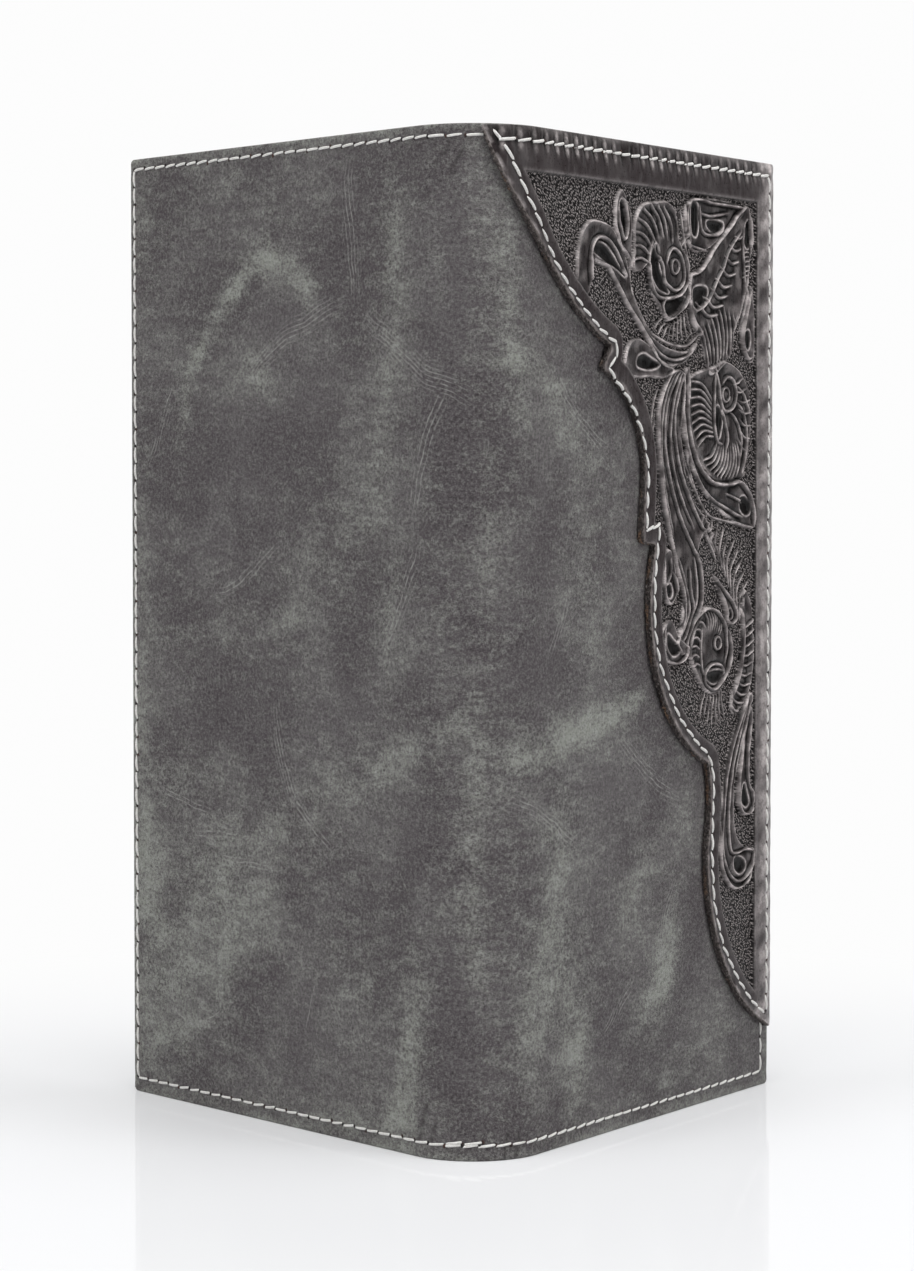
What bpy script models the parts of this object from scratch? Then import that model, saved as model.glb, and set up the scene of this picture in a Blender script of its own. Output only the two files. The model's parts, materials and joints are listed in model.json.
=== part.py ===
"""Tall two-fold rodeo wallet, standing half open on its bottom edge.

Lengths are in metres. +Z is up, the spine faces -Y, the back cover goes to
-X and the front cover, which carries the tooled overlay, goes to +X.
Each cover is drawn flat in its own frame: u runs from the fold to the free
edge, z runs up and depth runs inwards from the outer face of the leather.
"""

import math

import bmesh
import bpy
from mathutils import Vector

MM = 0.001

# Covers and spine
HEIGHT = 178.0 * MM
COVER_WIDTH = 84.0 * MM
CORNER_RADIUS = 1.5 * MM
HALF_OPEN = math.radians(37.3)
LEATHER = 1.8 * MM
FOLD_COUNT = 3

# Clearances
GAP = 0.3 * MM
CLOSED_AIR = 1.4 * MM

# Thickness of the inner layers
LINING = 0.5 * MM
INNER_PANEL = 1.0 * MM
POCKET = 0.7 * MM
BAG = 0.4 * MM
THREAD = 0.4 * MM
THREAD_WIDTH = 0.8 * MM
OVERLAY = 1.4 * MM

# Insets from the outline of the leather
LINING_INSET = 1.0 * MM
SEAM_INSET = 2.4 * MM
OVERLAY_INSET = 0.2 * MM
PANEL_START = 6.0 * MM

# Card pockets
CARD_POCKETS_FRONT = 4
CARD_POCKETS_BACK = 3
POCKET_FIRST = 25.0 * MM
POCKET_STEP_FRONT = 10.0 * MM
POCKET_STEP_BACK = 12.0 * MM
POCKET_EDGE_INSET = 3.6 * MM
COLUMN_GAP = 2.4 * MM
POCKET_CORNER = 2.0 * MM

# Identity card window
WINDOW_WIDTH = 42.0 * MM
WINDOW_HEIGHT = 70.0 * MM
WINDOW_SHEET = 0.3 * MM
WINDOW_FRAME = 0.8 * MM
WINDOW_CORNER = 3.0 * MM
SHEET_LAP = 3.0 * MM

# Zip
ZIP_CENTRE = 16.0 * MM
ZIP_WINDOW_WIDTH = 9.0 * MM
ZIP_WINDOW_MARGIN = 12.0 * MM
ZIP_TAPE = 0.4 * MM
ZIP_TAPE_WIDTH = 6.0 * MM
ZIP_TAPE_LAP = 5.0 * MM
TEETH_WIDTH = 2.1 * MM
TEETH_THICKNESS = 1.2 * MM
TEETH_SPACE = 1.2 * MM
STOP_LENGTH = 2.0 * MM
SLIDER_LENGTH = 9.0 * MM
SLIDER_WIDTH = 7.4 * MM
SLIDER_TAIL_WIDTH = 5.6 * MM
SLIDER_PLATE = 0.6 * MM
SLIDER_RUN = 0.2 * MM
SLIDER_POST_LENGTH = 2.4 * MM
ARCH_WIDTH = 1.6 * MM
ARCH_BAR = 0.8 * MM
ARCH_HALF_SPAN = 0.9 * MM
PULL_LENGTH = 17.0 * MM
PULL_WIDTH = 5.0 * MM
PULL_TIP_WIDTH = 6.4 * MM
PULL_THICKNESS = 0.9 * MM
PULL_CLEARANCE = 0.35 * MM
PULL_EYE_LENGTH = 3.0 * MM
PULL_BAR = 0.9 * MM
PULL_TIP_HOLE = 1.2 * MM

# Scalloped edge of the overlay, flat: u from the front fold, negative on the spine, and z
SCALLOP_TOP = ((-12.0, 178.0), (-1.5, 158.9), (22.6, 141.1))
FIRST_TIP = (19.7, 137.0)
SCALLOP_UPPER = (FIRST_TIP, (31.4, 128.6), (34.6, 118.5))
SECOND_TIP = (33.6, 106.0)
STEP_CORNER = (38.2, 105.6)
SCALLOP_MIDDLE = (STEP_CORNER, (38.6, 83.0), (57.9, 64.3))
SCALLOP_NECK = ((57.9, 64.3), (58.9, 58.0), (57.8, 49.0))
SCALLOP_LOWER = ((57.8, 49.0), (62.6, 28.6), (84.0, 11.0))
OVERLAY_SEAM_INSET = 1.8 * MM

# Faceting of round stretches
ARC_STEP = math.radians(6.5)
END_STEPS = 6
CORNER_STEPS = 4
SCALLOP_STEPS = 12

ARC_HALF = math.pi / 2 - HALF_OPEN
OPEN_STEP = 2 * ARC_HALF / FOLD_COUNT
CLOSE_STEP = 2 * HALF_OPEN / FOLD_COUNT
FRONT = 1
BACK = -1


def stack(start, thicknesses):
    """Spans of layers that lie on each other, with the small gap between them."""
    spans = []
    depth = start
    for thickness in thicknesses:
        spans.append((depth, depth + thickness))
        depth += thickness + GAP
    return spans


LEATHER_SPAN, LINING_SPAN, FRONT_PANEL_SPAN, *FRONT_POCKET_SPANS = stack(
    0, [LEATHER, LINING, INNER_PANEL] + [POCKET] * CARD_POCKETS_FRONT
)
BAG_SPAN, SLIDER_UNDER_SPAN = stack(LINING_SPAN[1] + GAP, [BAG, SLIDER_PLATE])
TEETH_SPAN = (
    SLIDER_UNDER_SPAN[1] + SLIDER_RUN,
    SLIDER_UNDER_SPAN[1] + SLIDER_RUN + TEETH_THICKNESS,
)
ZIP_DEPTH = (TEETH_SPAN[0] + TEETH_SPAN[1]) / 2
TAPE_SPAN = (ZIP_DEPTH - ZIP_TAPE / 2, ZIP_DEPTH + ZIP_TAPE / 2)
SLIDER_TOP_SPAN = (TEETH_SPAN[1] + SLIDER_RUN, TEETH_SPAN[1] + SLIDER_RUN + SLIDER_PLATE)
BACK_PANEL_SPAN, *BACK_POCKET_SPANS = stack(
    TAPE_SPAN[1] + GAP, [INNER_PANEL] + [POCKET] * CARD_POCKETS_BACK
)
SHEET_SPAN, WINDOW_FRAME_SPAN = stack(BACK_PANEL_SPAN[1] + GAP, [WINDOW_SHEET, WINDOW_FRAME])
OVERLAY_SPAN = (-GAP - OVERLAY, -GAP)
THREAD_SPAN = (-GAP - THREAD, -GAP)
OVERLAY_THREAD_SPAN = (OVERLAY_SPAN[0] - GAP - THREAD, OVERLAY_SPAN[0] - GAP)

# The spine's radius leaves room for both stacks when the covers lie parallel
CLOSED_THICKNESS = FRONT_POCKET_SPANS[-1][1] + BACK_POCKET_SPANS[-1][1] + CLOSED_AIR
HALF_CHORD_FACTOR = 2 * math.sin(ARC_HALF / 2) * math.cos(ARC_HALF / 2 + CLOSE_STEP / 2)
MID_RADIUS = (CLOSED_THICKNESS - LEATHER) / 2 / HALF_CHORD_FACTOR
OUTER_RADIUS = MID_RADIUS + LEATHER / 2


def fold_clearance(depth, angle):
    """Distance that a layer's end keeps from a fold's axis so that it can turn by the angle."""
    return abs(depth - LEATHER / 2) * math.tan(angle / 2) + GAP / 2


def clear_scene():
    for obj in list(bpy.data.objects):
        bpy.data.objects.remove(obj, do_unlink=True)


def finish(name, colour, roughness, metallic=0.0, alpha=1.0):
    material = bpy.data.materials.new(name)
    material.use_nodes = True
    shader = material.node_tree.nodes["Principled BSDF"]
    shader.inputs["Base Color"].default_value = (*colour, 1.0)
    shader.inputs["Roughness"].default_value = roughness
    shader.inputs["Metallic"].default_value = metallic
    shader.inputs["Alpha"].default_value = alpha
    material.diffuse_color = (*colour, alpha)
    return material


def add_empty(name, location, parent=None, turn=0.0):
    empty = bpy.data.objects.new(name, None)
    empty.empty_display_size = 10 * MM
    empty.location = location
    empty.rotation_euler = (0, 0, turn)
    empty.parent = parent
    bpy.context.scene.collection.objects.link(empty)
    return empty


def add_object(name, bm, parent, material, smooth=False):
    bmesh.ops.recalc_face_normals(bm, faces=bm.faces)
    mesh = bpy.data.meshes.new(name)
    bm.to_mesh(mesh)
    bm.free()
    if smooth:
        mesh.shade_smooth()
        mesh.set_sharp_from_angle(angle=math.radians(35))
    mesh.materials.append(material)
    obj = bpy.data.objects.new(name, mesh)
    obj.parent = parent
    bpy.context.scene.collection.objects.link(obj)
    return obj


def prism(bm, loop, shift):
    """Closed solid between a loop of points and its copy moved by shift."""
    near = [bm.verts.new(point) for point in loop]
    far = [bm.verts.new(Vector(point) + Vector(shift)) for point in loop]
    bm.faces.new(near)
    bm.faces.new(list(reversed(far)))
    for i in range(len(loop)):
        j = (i + 1) % len(loop)
        bm.faces.new([near[j], near[i], far[i], far[j]])


def pierced(bm, outer, inner, shift):
    """Closed solid between two loops of as many points, one inside the other."""
    rings = []
    for loop in (outer, inner):
        for move in (Vector((0, 0, 0)), Vector(shift)):
            rings.append([bm.verts.new(Vector(point) + move) for point in loop])
    outer_near, outer_far, inner_near, inner_far = rings
    pairs = (
        (outer_near, outer_far),
        (outer_far, inner_far),
        (inner_far, inner_near),
        (inner_near, outer_near),
    )
    for first, second in pairs:
        for i in range(len(first)):
            j = (i + 1) % len(first)
            bm.faces.new([first[i], first[j], second[j], second[i]])


def sweep(bm, stations):
    """Closed solid through stations of four corners each."""
    rings = [[bm.verts.new(point) for point in station] for station in stations]
    for first, second in zip(rings, rings[1:]):
        for i in range(4):
            j = (i + 1) % 4
            bm.faces.new([first[i], first[j], second[j], second[i]])
    bm.faces.new(rings[0])
    bm.faces.new(list(reversed(rings[-1])))


def rounded_rectangle(u0, u1, z0, z1, radius):
    """Outline in u and z, anticlockwise from the lower right corner."""
    corners = ((u1, z0, -90), (u1, z1, 0), (u0, z1, 90), (u0, z0, 180))
    inward = ((-1, 1), (-1, -1), (1, -1), (1, 1))
    outline = []
    for (u, z, start), (du, dz) in zip(corners, inward):
        for step in range(CORNER_STEPS + 1):
            angle = math.radians(start + 90 * step / CORNER_STEPS)
            outline.append(
                (
                    u + du * radius + radius * math.cos(angle),
                    z + dz * radius + radius * math.sin(angle),
                )
            )
    return outline


def arc_through(start, middle, end, steps):
    """Points on the circle through three points, from start to end."""
    (ax, ay), (bx, by), (cx, cy) = start, middle, end
    d = 2 * (ax * (by - cy) + bx * (cy - ay) + cx * (ay - by))
    a2, b2, c2 = ax * ax + ay * ay, bx * bx + by * by, cx * cx + cy * cy
    ox = (a2 * (by - cy) + b2 * (cy - ay) + c2 * (ay - by)) / d
    oy = (a2 * (cx - bx) + b2 * (ax - cx) + c2 * (bx - ax)) / d
    radius = math.hypot(ax - ox, ay - oy)
    first = math.atan2(ay - oy, ax - ox)
    through = (math.atan2(by - oy, bx - ox) - first) % math.tau
    turn = (math.atan2(cy - oy, cx - ox) - first) % math.tau
    if through > turn:
        turn -= math.tau
    return [
        (
            ox + radius * math.cos(first + turn * i / steps),
            oy + radius * math.sin(first + turn * i / steps),
        )
        for i in range(steps + 1)
    ]


def scalloped_edge():
    """The overlay's free edge from the top of the spine to the cover's free edge."""
    stretches = [
        arc_through(*SCALLOP_TOP, SCALLOP_STEPS),
        arc_through(*SCALLOP_UPPER, SCALLOP_STEPS),
        [SECOND_TIP],
        arc_through(*SCALLOP_MIDDLE, SCALLOP_STEPS),
        arc_through(*SCALLOP_NECK, END_STEPS)[1:],
        arc_through(*SCALLOP_LOWER, SCALLOP_STEPS)[1:],
    ]
    drawn_width, drawn_height = SCALLOP_LOWER[-1][0], SCALLOP_TOP[0][1]
    across, up = COVER_WIDTH / drawn_width, HEIGHT / drawn_height
    return [(u * across, z * up) for stretch in stretches for u, z in stretch]


def distance_to_path(point, path):
    best = math.inf
    for (ax, ay), (bx, by) in zip(path, path[1:]):
        dx, dy = bx - ax, by - ay
        along = ((point[0] - ax) * dx + (point[1] - ay) * dy) / (dx * dx + dy * dy)
        along = min(1.0, max(0.0, along))
        best = min(best, math.hypot(point[0] - ax - along * dx, point[1] - ay - along * dy))
    return best


def inset_path(path, inset):
    """The path moved to its left by the inset, with square corners, trimmed where it folds."""
    moved = []
    for i, (x, y) in enumerate(path):
        normals = []
        for a, b in ((i - 1, i), (i, i + 1)):
            if a >= 0 and b < len(path):
                dx, dy = path[b][0] - path[a][0], path[b][1] - path[a][1]
                length = math.hypot(dx, dy)
                normals.append((-dy / length, dx / length))
        nx = sum(n[0] for n in normals) / len(normals)
        ny = sum(n[1] for n in normals) / len(normals)
        square = nx * nx + ny * ny
        moved.append((x + inset * nx / square, y + inset * ny / square))
    return [point for point in moved if distance_to_path(point, path) > 0.97 * inset]


def cut_path(path, u):
    """(The stretch of the path below u, the stretch above it), both with a point at u."""
    for i, (a, b) in enumerate(zip(path, path[1:])):
        if (a[0] - u) * (b[0] - u) <= 0 and a[0] != b[0]:
            share = (u - a[0]) / (b[0] - a[0])
            point = (u, a[1] + share * (b[1] - a[1]))
            return path[: i + 1] + [point], [point] + path[i + 1 :]
    return path, []


def flat_point(side, u, depth, z):
    """A point of a cover in the frame of its fold."""
    return (side * u, depth - LEATHER / 2, z)


def plate(name, side, outline, span, parent, material):
    bm = bmesh.new()
    loop = [flat_point(side, u, span[0], z) for u, z in outline]
    prism(bm, loop, (0, span[1] - span[0], 0))
    return add_object(name, bm, parent, material)


def pierced_plate(name, side, outer, inner, span, parent, material):
    bm = bmesh.new()
    outer = [flat_point(side, u, span[0], z) for u, z in outer]
    inner = [flat_point(side, u, span[0], z) for u, z in inner]
    pierced(bm, outer, inner, (0, span[1] - span[0], 0))
    return add_object(name, bm, parent, material)


def arc_point(side, u, depth, z):
    """A point of the spine, u running from the apex, in the frame of the spine's centre."""
    angle = u / OUTER_RADIUS
    radius = OUTER_RADIUS - depth
    return (side * radius * math.sin(angle), -radius * math.cos(angle), z)


def from_apex(side, u, depth, z):
    """The same point in the frame of the fold at the apex."""
    x, y, z = arc_point(side, u, depth, z)
    return (x, y + MID_RADIUS, z)


def ribbon(name, place, side, path, width, span, parent, material):
    """A flat thread of one width along a path in u and z, on a cover or on the spine."""
    bm = bmesh.new()
    left = offset_side(path, width / 2)
    right = offset_side(path, -width / 2)
    stations = []
    for (lu, lz), (ru, rz) in zip(left, right):
        stations.append(
            [
                place(side, lu, span[0], lz),
                place(side, ru, span[0], rz),
                place(side, ru, span[1], rz),
                place(side, lu, span[1], lz),
            ]
        )
    sweep(bm, stations)
    return add_object(name, bm, parent, material)


def offset_side(path, offset):
    """The path moved to its left by the offset, one point for each of its points."""
    moved = []
    for i, (x, y) in enumerate(path):
        before = path[max(i - 1, 0)]
        after = path[min(i + 1, len(path) - 1)]
        ins = (x - before[0], y - before[1]) if i else (after[0] - x, after[1] - y)
        outs = (after[0] - x, after[1] - y) if i < len(path) - 1 else ins
        n1 = Vector((-ins[1], ins[0])).normalized()
        n2 = Vector((-outs[1], outs[0])).normalized()
        middle = (n1 + n2) / 2
        middle /= max(middle.length_squared, 0.3)
        moved.append((x + offset * middle.x, y + offset * middle.y))
    return moved


def arc_profile(side, u0, u1, span, place, rounded):
    """Cross-section of a layer of the spine between u0 and u1, with round ends for the leather."""
    steps = max(2, math.ceil((u1 - u0) / OUTER_RADIUS / ARC_STEP))
    us = [u0 + (u1 - u0) * i / steps for i in range(steps + 1)]
    outer = [place(side, u, span[0], 0) for u in us]
    inner = [place(side, u, span[1], 0) for u in reversed(us)]
    if not rounded:
        return outer + inner
    far = round_end(side, outer[-1], inner[0])
    near = round_end(side, inner[-1], outer[0])
    return outer + far + inner + near


def round_end(side, start, end):
    """Points of the half circle that runs from one corner of a layer to the other, ends left out."""
    start, end = Vector(start), Vector(end)
    centre = (start + end) / 2
    arm = start - centre
    points = []
    for i in range(1, END_STEPS):
        angle = side * math.pi * i / END_STEPS
        c, s = math.cos(angle), math.sin(angle)
        points.append(tuple(centre + Vector((arm.x * c - arm.y * s, arm.x * s + arm.y * c, 0))))
    return points


def spine_layer(name, side, span, z0, z1, ends, place, parent, material, rounded=False):
    bm = bmesh.new()
    apex_end, cover_end = ends
    half = ARC_HALF * OUTER_RADIUS
    profile = arc_profile(side, apex_end, half - cover_end, span, place, rounded)
    loop = [(x, y, z0) for x, y, _ in profile]
    prism(bm, loop, (0, 0, z1 - z0))
    return add_object(name, bm, parent, material, smooth=True)


def cover_leather(name, side, parent, material):
    """The leather of one cover: round at the fold, square at the free edge."""
    bm = bmesh.new()
    start = (LEATHER + GAP) / 2
    fold = [
        flat_point(side, start - LEATHER / 2 * math.sin(math.pi * i / END_STEPS),
                   LEATHER / 2 * (1 - math.cos(math.pi * i / END_STEPS)), 0)
        for i in range(END_STEPS + 1)
    ]
    free = [flat_point(side, COVER_WIDTH, LEATHER, 0), flat_point(side, COVER_WIDTH, 0, 0)]
    prism(bm, fold + free, (0, 0, HEIGHT))
    corners = [
        edge
        for edge in bm.edges
        if all(abs(abs(vert.co.x) - COVER_WIDTH) < GAP for vert in edge.verts)
        and abs(edge.verts[0].co.z - edge.verts[1].co.z) < GAP
    ]
    bmesh.ops.bevel(bm, geom=corners, offset=CORNER_RADIUS, segments=CORNER_STEPS,
                    affect="EDGES", profile=0.5)
    return add_object(name, bm, parent, material, smooth=True)


def inner_outline(u0, inset, radius=CORNER_RADIUS):
    return rounded_rectangle(u0, COVER_WIDTH - inset, inset, HEIGHT - inset, radius)


def columns():
    """Lowest and highest z of the lower and the upper column of pockets."""
    middle = HEIGHT / 2
    edge = LINING_INSET + SEAM_INSET
    return {
        "lower": (edge, middle - COLUMN_GAP / 2),
        "upper": (middle + COLUMN_GAP / 2, HEIGHT - edge),
    }


def card_pockets(prefix, side, span_list, step, z0, z1, parent, material):
    for number, span in enumerate(span_list, start=1):
        start = POCKET_FIRST + step * (number - 1)
        outline = rounded_rectangle(start, COVER_WIDTH - POCKET_EDGE_INSET, z0, z1, POCKET_CORNER)
        plate(f"{prefix}_{number}", side, outline, span, parent, material)


def perimeter_path(start):
    """The seam of one cover, from the fold along the bottom, the free edge and the top."""
    edge = COVER_WIDTH - SEAM_INSET
    return [(start, SEAM_INSET), (edge, SEAM_INSET), (edge, HEIGHT - SEAM_INSET),
            (start, HEIGHT - SEAM_INSET)]


def spine_thread(name, side, z, place, parent, material, span):
    half = ARC_HALF * OUTER_RADIUS
    end = fold_clearance(span[0], OPEN_STEP)
    steps = math.ceil((half - 2 * end) / OUTER_RADIUS / ARC_STEP)
    path = [(end + (half - 2 * end) * i / steps, z) for i in range(steps + 1)]
    return ribbon(name, place, side, path, THREAD_WIDTH, span, parent, material)


def ring_thread(name, side, u0, u1, z0, z1, radius, span, parent, material):
    """A closed seam round a window."""
    half = THREAD_WIDTH / 2
    outer = rounded_rectangle(u0 - half, u1 + half, z0 - half, z1 + half, radius + half)
    inner = rounded_rectangle(u0 + half, u1 - half, z0 + half, z1 - half, radius - half)
    return pierced_plate(name, side, outer, inner, span, parent, material)


def build_spine_half(side, place, parent, leather, fabric, thread):
    word = "front" if side == FRONT else "back"
    ends = ((LEATHER + GAP) / 2, (LEATHER + GAP) / 2)
    spine_layer(f"spine_leather_{word}", side, LEATHER_SPAN, 0, HEIGHT, ends, place, parent,
                leather, rounded=True)
    end = fold_clearance(LINING_SPAN[1], CLOSE_STEP)
    shrink = OUTER_RADIUS / (OUTER_RADIUS - LINING_SPAN[1])
    spine_layer(f"spine_lining_{word}", side, LINING_SPAN, LINING_INSET, HEIGHT - LINING_INSET,
                (end * shrink, end * shrink), place, parent, fabric)
    spine_thread(f"spine_bottom_thread_{word}", side, SEAM_INSET, place, parent, thread,
                 THREAD_SPAN)
    over = OVERLAY_THREAD_SPAN if side == FRONT else THREAD_SPAN
    spine_thread(f"spine_top_thread_{word}", side, HEIGHT - SEAM_INSET, place, parent, thread, over)


def build_overlay_spine_end(parent, material, thread):
    """The stretch of the overlay that lies on the spine, above its scalloped edge."""
    half = ARC_HALF * OUTER_RADIUS
    clear = fold_clearance(OVERLAY_SPAN[0], OPEN_STEP)
    edge = scalloped_edge()
    top = HEIGHT - OVERLAY_INSET
    start = max(clear, half + edge[0][0])
    end = half - clear
    steps = math.ceil((end - start) / OUTER_RADIUS / ARC_STEP)
    stations = []
    for i in range(steps + 1):
        u = start + (end - start) * i / steps
        low = cut_path(edge, u - half)[1][0][1]
        stations.append(
            [
                from_apex(FRONT, u, OVERLAY_SPAN[0], low),
                from_apex(FRONT, u, OVERLAY_SPAN[0], top),
                from_apex(FRONT, u, OVERLAY_SPAN[1], top),
                from_apex(FRONT, u, OVERLAY_SPAN[1], low),
            ]
        )
    bm = bmesh.new()
    sweep(bm, stations)
    add_object("tooled_overlay_spine_end", bm, parent, material, smooth=True)

    seam = inset_path(edge, OVERLAY_SEAM_INSET)
    below = cut_path(seam, -fold_clearance(OVERLAY_THREAD_SPAN[0], OPEN_STEP))[0]
    highest = HEIGHT - SEAM_INSET - THREAD_WIDTH / 2 - GAP - THREAD_WIDTH / 2
    path = [(half + u, z) for u, z in below if z < highest]
    ribbon("overlay_spine_thread", from_apex, FRONT, path, THREAD_WIDTH, OVERLAY_THREAD_SPAN,
           parent, thread)


def build_overlay(parent, material, thread):
    """The stretch of the overlay that lies on the front cover, and its two seams."""
    edge = scalloped_edge()
    start = fold_clearance(OVERLAY_SPAN[0], OPEN_STEP)
    low = cut_path(edge, start)[1]
    right = COVER_WIDTH - OVERLAY_INSET
    low = cut_path(low, right)[0]
    top = HEIGHT - OVERLAY_INSET
    plate("tooled_overlay", FRONT, low + [(right, top), (start, top)], OVERLAY_SPAN, parent,
          material)

    start = fold_clearance(OVERLAY_THREAD_SPAN[0], OPEN_STEP)
    border = COVER_WIDTH - SEAM_INSET
    lowest = edge[-1][1] + OVERLAY_SEAM_INSET + THREAD_WIDTH
    path = [(border, lowest), (border, HEIGHT - SEAM_INSET), (start, HEIGHT - SEAM_INSET)]
    ribbon("overlay_border_thread", flat_point, FRONT, path, THREAD_WIDTH, OVERLAY_THREAD_SPAN,
           parent, thread)
    seam = cut_path(inset_path(edge, OVERLAY_SEAM_INSET), start)[1]
    seam = cut_path(seam, border - THREAD_WIDTH - GAP)[0]
    ribbon("overlay_edge_thread", flat_point, FRONT, seam, THREAD_WIDTH, OVERLAY_THREAD_SPAN,
           parent, thread)


def build_front(parent, finishes):
    leather, inner, fabric, thread = (
        finishes[key] for key in ("leather", "inner", "fabric", "thread")
    )
    cover_leather("front_cover_leather", FRONT, parent, leather)
    start = fold_clearance(LINING_SPAN[1], CLOSE_STEP)
    plate("front_lining", FRONT, inner_outline(start, LINING_INSET), LINING_SPAN, parent, fabric)
    plate("front_inner_panel", FRONT, inner_outline(PANEL_START, LINING_INSET), FRONT_PANEL_SPAN,
          parent, inner)
    for word, (z0, z1) in columns().items():
        card_pockets(f"front_card_pocket_{word}", FRONT, FRONT_POCKET_SPANS, POCKET_STEP_FRONT,
                     z0, z1, parent, inner)
    start = fold_clearance(THREAD_SPAN[0], OPEN_STEP)
    edge = COVER_WIDTH - SEAM_INSET
    end = scalloped_edge()[-1][1] - THREAD_WIDTH - GAP
    path = [(start, SEAM_INSET), (edge, SEAM_INSET), (edge, end)]
    ribbon("front_bottom_thread", flat_point, FRONT, path, THREAD_WIDTH, THREAD_SPAN, parent,
           thread)
    divider(FRONT, "front_pocket_thread", FRONT_PANEL_SPAN[1], PANEL_START + SEAM_INSET,
            COVER_WIDTH - POCKET_EDGE_INSET, parent, thread)
    build_overlay(parent, finishes["overlay"], thread)


def divider(side, name, face, start, end, parent, thread):
    """The seam between the two columns of pockets."""
    span = (face + GAP, face + GAP + THREAD)
    path = [(start, HEIGHT / 2), (end, HEIGHT / 2)]
    ribbon(name, flat_point, side, path, THREAD_WIDTH, span, parent, thread)


def build_zip(parent, finishes):
    """Tapes, teeth, stops and bag of the zip, behind the window in the back's inner panel."""
    fabric, metal, thread = finishes["fabric"], finishes["metal"], finishes["thread"]
    z0, z1 = ZIP_WINDOW_MARGIN, HEIGHT - ZIP_WINDOW_MARGIN
    row = TEETH_SPACE / 2
    tape = row + TEETH_WIDTH + GAP
    for word, sign in (("fold", -1), ("edge", 1)):
        near, far = sorted((ZIP_CENTRE + sign * row, ZIP_CENTRE + sign * (row + TEETH_WIDTH)))
        outline = [(near, z0), (far, z0), (far, z1), (near, z1)]
        plate(f"zip_teeth_{word}_side", BACK, outline, TEETH_SPAN, parent, metal)
        near, far = sorted((ZIP_CENTRE + sign * tape, ZIP_CENTRE + sign * (tape + ZIP_TAPE_WIDTH)))
        low, high = z0 - ZIP_TAPE_LAP, z1 + ZIP_TAPE_LAP
        outline = [(near, low), (far, low), (far, high), (near, high)]
        plate(f"zip_tape_{word}_side", BACK, outline, TAPE_SPAN, parent, fabric)
    for word, low in (("bottom", z0 - GAP - STOP_LENGTH), ("top", z1 + GAP)):
        outline = [
            (ZIP_CENTRE - row - TEETH_WIDTH, low),
            (ZIP_CENTRE + row + TEETH_WIDTH, low),
            (ZIP_CENTRE + row + TEETH_WIDTH, low + STOP_LENGTH),
            (ZIP_CENTRE - row - TEETH_WIDTH, low + STOP_LENGTH),
        ]
        plate(f"zip_{word}_stop", BACK, outline, TAPE_SPAN, parent, metal)
    bag_start = ZIP_CENTRE - tape - ZIP_TAPE_WIDTH
    outline = rounded_rectangle(bag_start, COVER_WIDTH - POCKET_EDGE_INSET,
                                POCKET_EDGE_INSET, HEIGHT - POCKET_EDGE_INSET, POCKET_CORNER)
    plate("zip_pocket_bag", BACK, outline, BAG_SPAN, parent, fabric)
    half = ZIP_WINDOW_WIDTH / 2 + THREAD_WIDTH
    face = BACK_PANEL_SPAN[1]
    ring_thread("zip_seam_thread", BACK, ZIP_CENTRE - half, ZIP_CENTRE + half,
                z0 - THREAD_WIDTH, z1 + THREAD_WIDTH, THREAD_WIDTH, (face + GAP, face + GAP + THREAD),
                parent, thread)


def build_window(z0, z1, parent, finishes):
    """The identity card's clear sheet and its frame, in the upper column of the back."""
    u0, u1 = POCKET_FIRST, COVER_WIDTH - POCKET_EDGE_INSET
    cu, cz = (u0 + u1) / 2, (z0 + z1) / 2
    half_u, half_z = WINDOW_WIDTH / 2, WINDOW_HEIGHT / 2
    frame = rounded_rectangle(u0, u1, z0, z1, POCKET_CORNER)
    window = rounded_rectangle(cu - half_u, cu + half_u, cz - half_z, cz + half_z, WINDOW_CORNER)
    pierced_plate("id_window_frame", BACK, frame, window, WINDOW_FRAME_SPAN, parent,
                  finishes["inner"])
    sheet = rounded_rectangle(cu - half_u - SHEET_LAP, cu + half_u + SHEET_LAP,
                              cz - half_z - SHEET_LAP, cz + half_z + SHEET_LAP, WINDOW_CORNER)
    plate("id_window_sheet", BACK, sheet, SHEET_SPAN, parent, finishes["clear"])
    lap = SHEET_LAP / 2
    face = WINDOW_FRAME_SPAN[1]
    ring_thread("id_window_thread", BACK, cu - half_u - lap, cu + half_u + lap, cz - half_z - lap,
                cz + half_z + lap, WINDOW_CORNER, (face + GAP, face + GAP + THREAD), parent,
                finishes["thread"])


def build_back(parent, finishes):
    leather, inner, fabric, thread = (
        finishes[key] for key in ("leather", "inner", "fabric", "thread")
    )
    cover_leather("back_cover_leather", BACK, parent, leather)
    start = fold_clearance(LINING_SPAN[1], CLOSE_STEP)
    plate("back_lining", BACK, inner_outline(start, LINING_INSET), LINING_SPAN, parent, fabric)
    half = ZIP_WINDOW_WIDTH / 2
    window = rounded_rectangle(ZIP_CENTRE - half, ZIP_CENTRE + half, ZIP_WINDOW_MARGIN,
                               HEIGHT - ZIP_WINDOW_MARGIN, THREAD_WIDTH)
    pierced_plate("back_inner_panel", BACK, inner_outline(PANEL_START, LINING_INSET), window,
                  BACK_PANEL_SPAN, parent, inner)
    build_zip(parent, finishes)
    z0, z1 = columns()["lower"]
    card_pockets("back_card_pocket", BACK, BACK_POCKET_SPANS, POCKET_STEP_BACK, z0, z1, parent,
                 inner)
    build_window(*columns()["upper"], parent, finishes)
    path = perimeter_path(fold_clearance(THREAD_SPAN[0], OPEN_STEP))
    ribbon("back_perimeter_thread", flat_point, BACK, path, THREAD_WIDTH, THREAD_SPAN, parent,
           thread)
    divider(BACK, "back_pocket_thread", BACK_PANEL_SPAN[1],
            ZIP_CENTRE + ZIP_WINDOW_WIDTH / 2 + 2 * THREAD_WIDTH + GAP,
            COVER_WIDTH - POCKET_EDGE_INSET, parent, thread)


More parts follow.
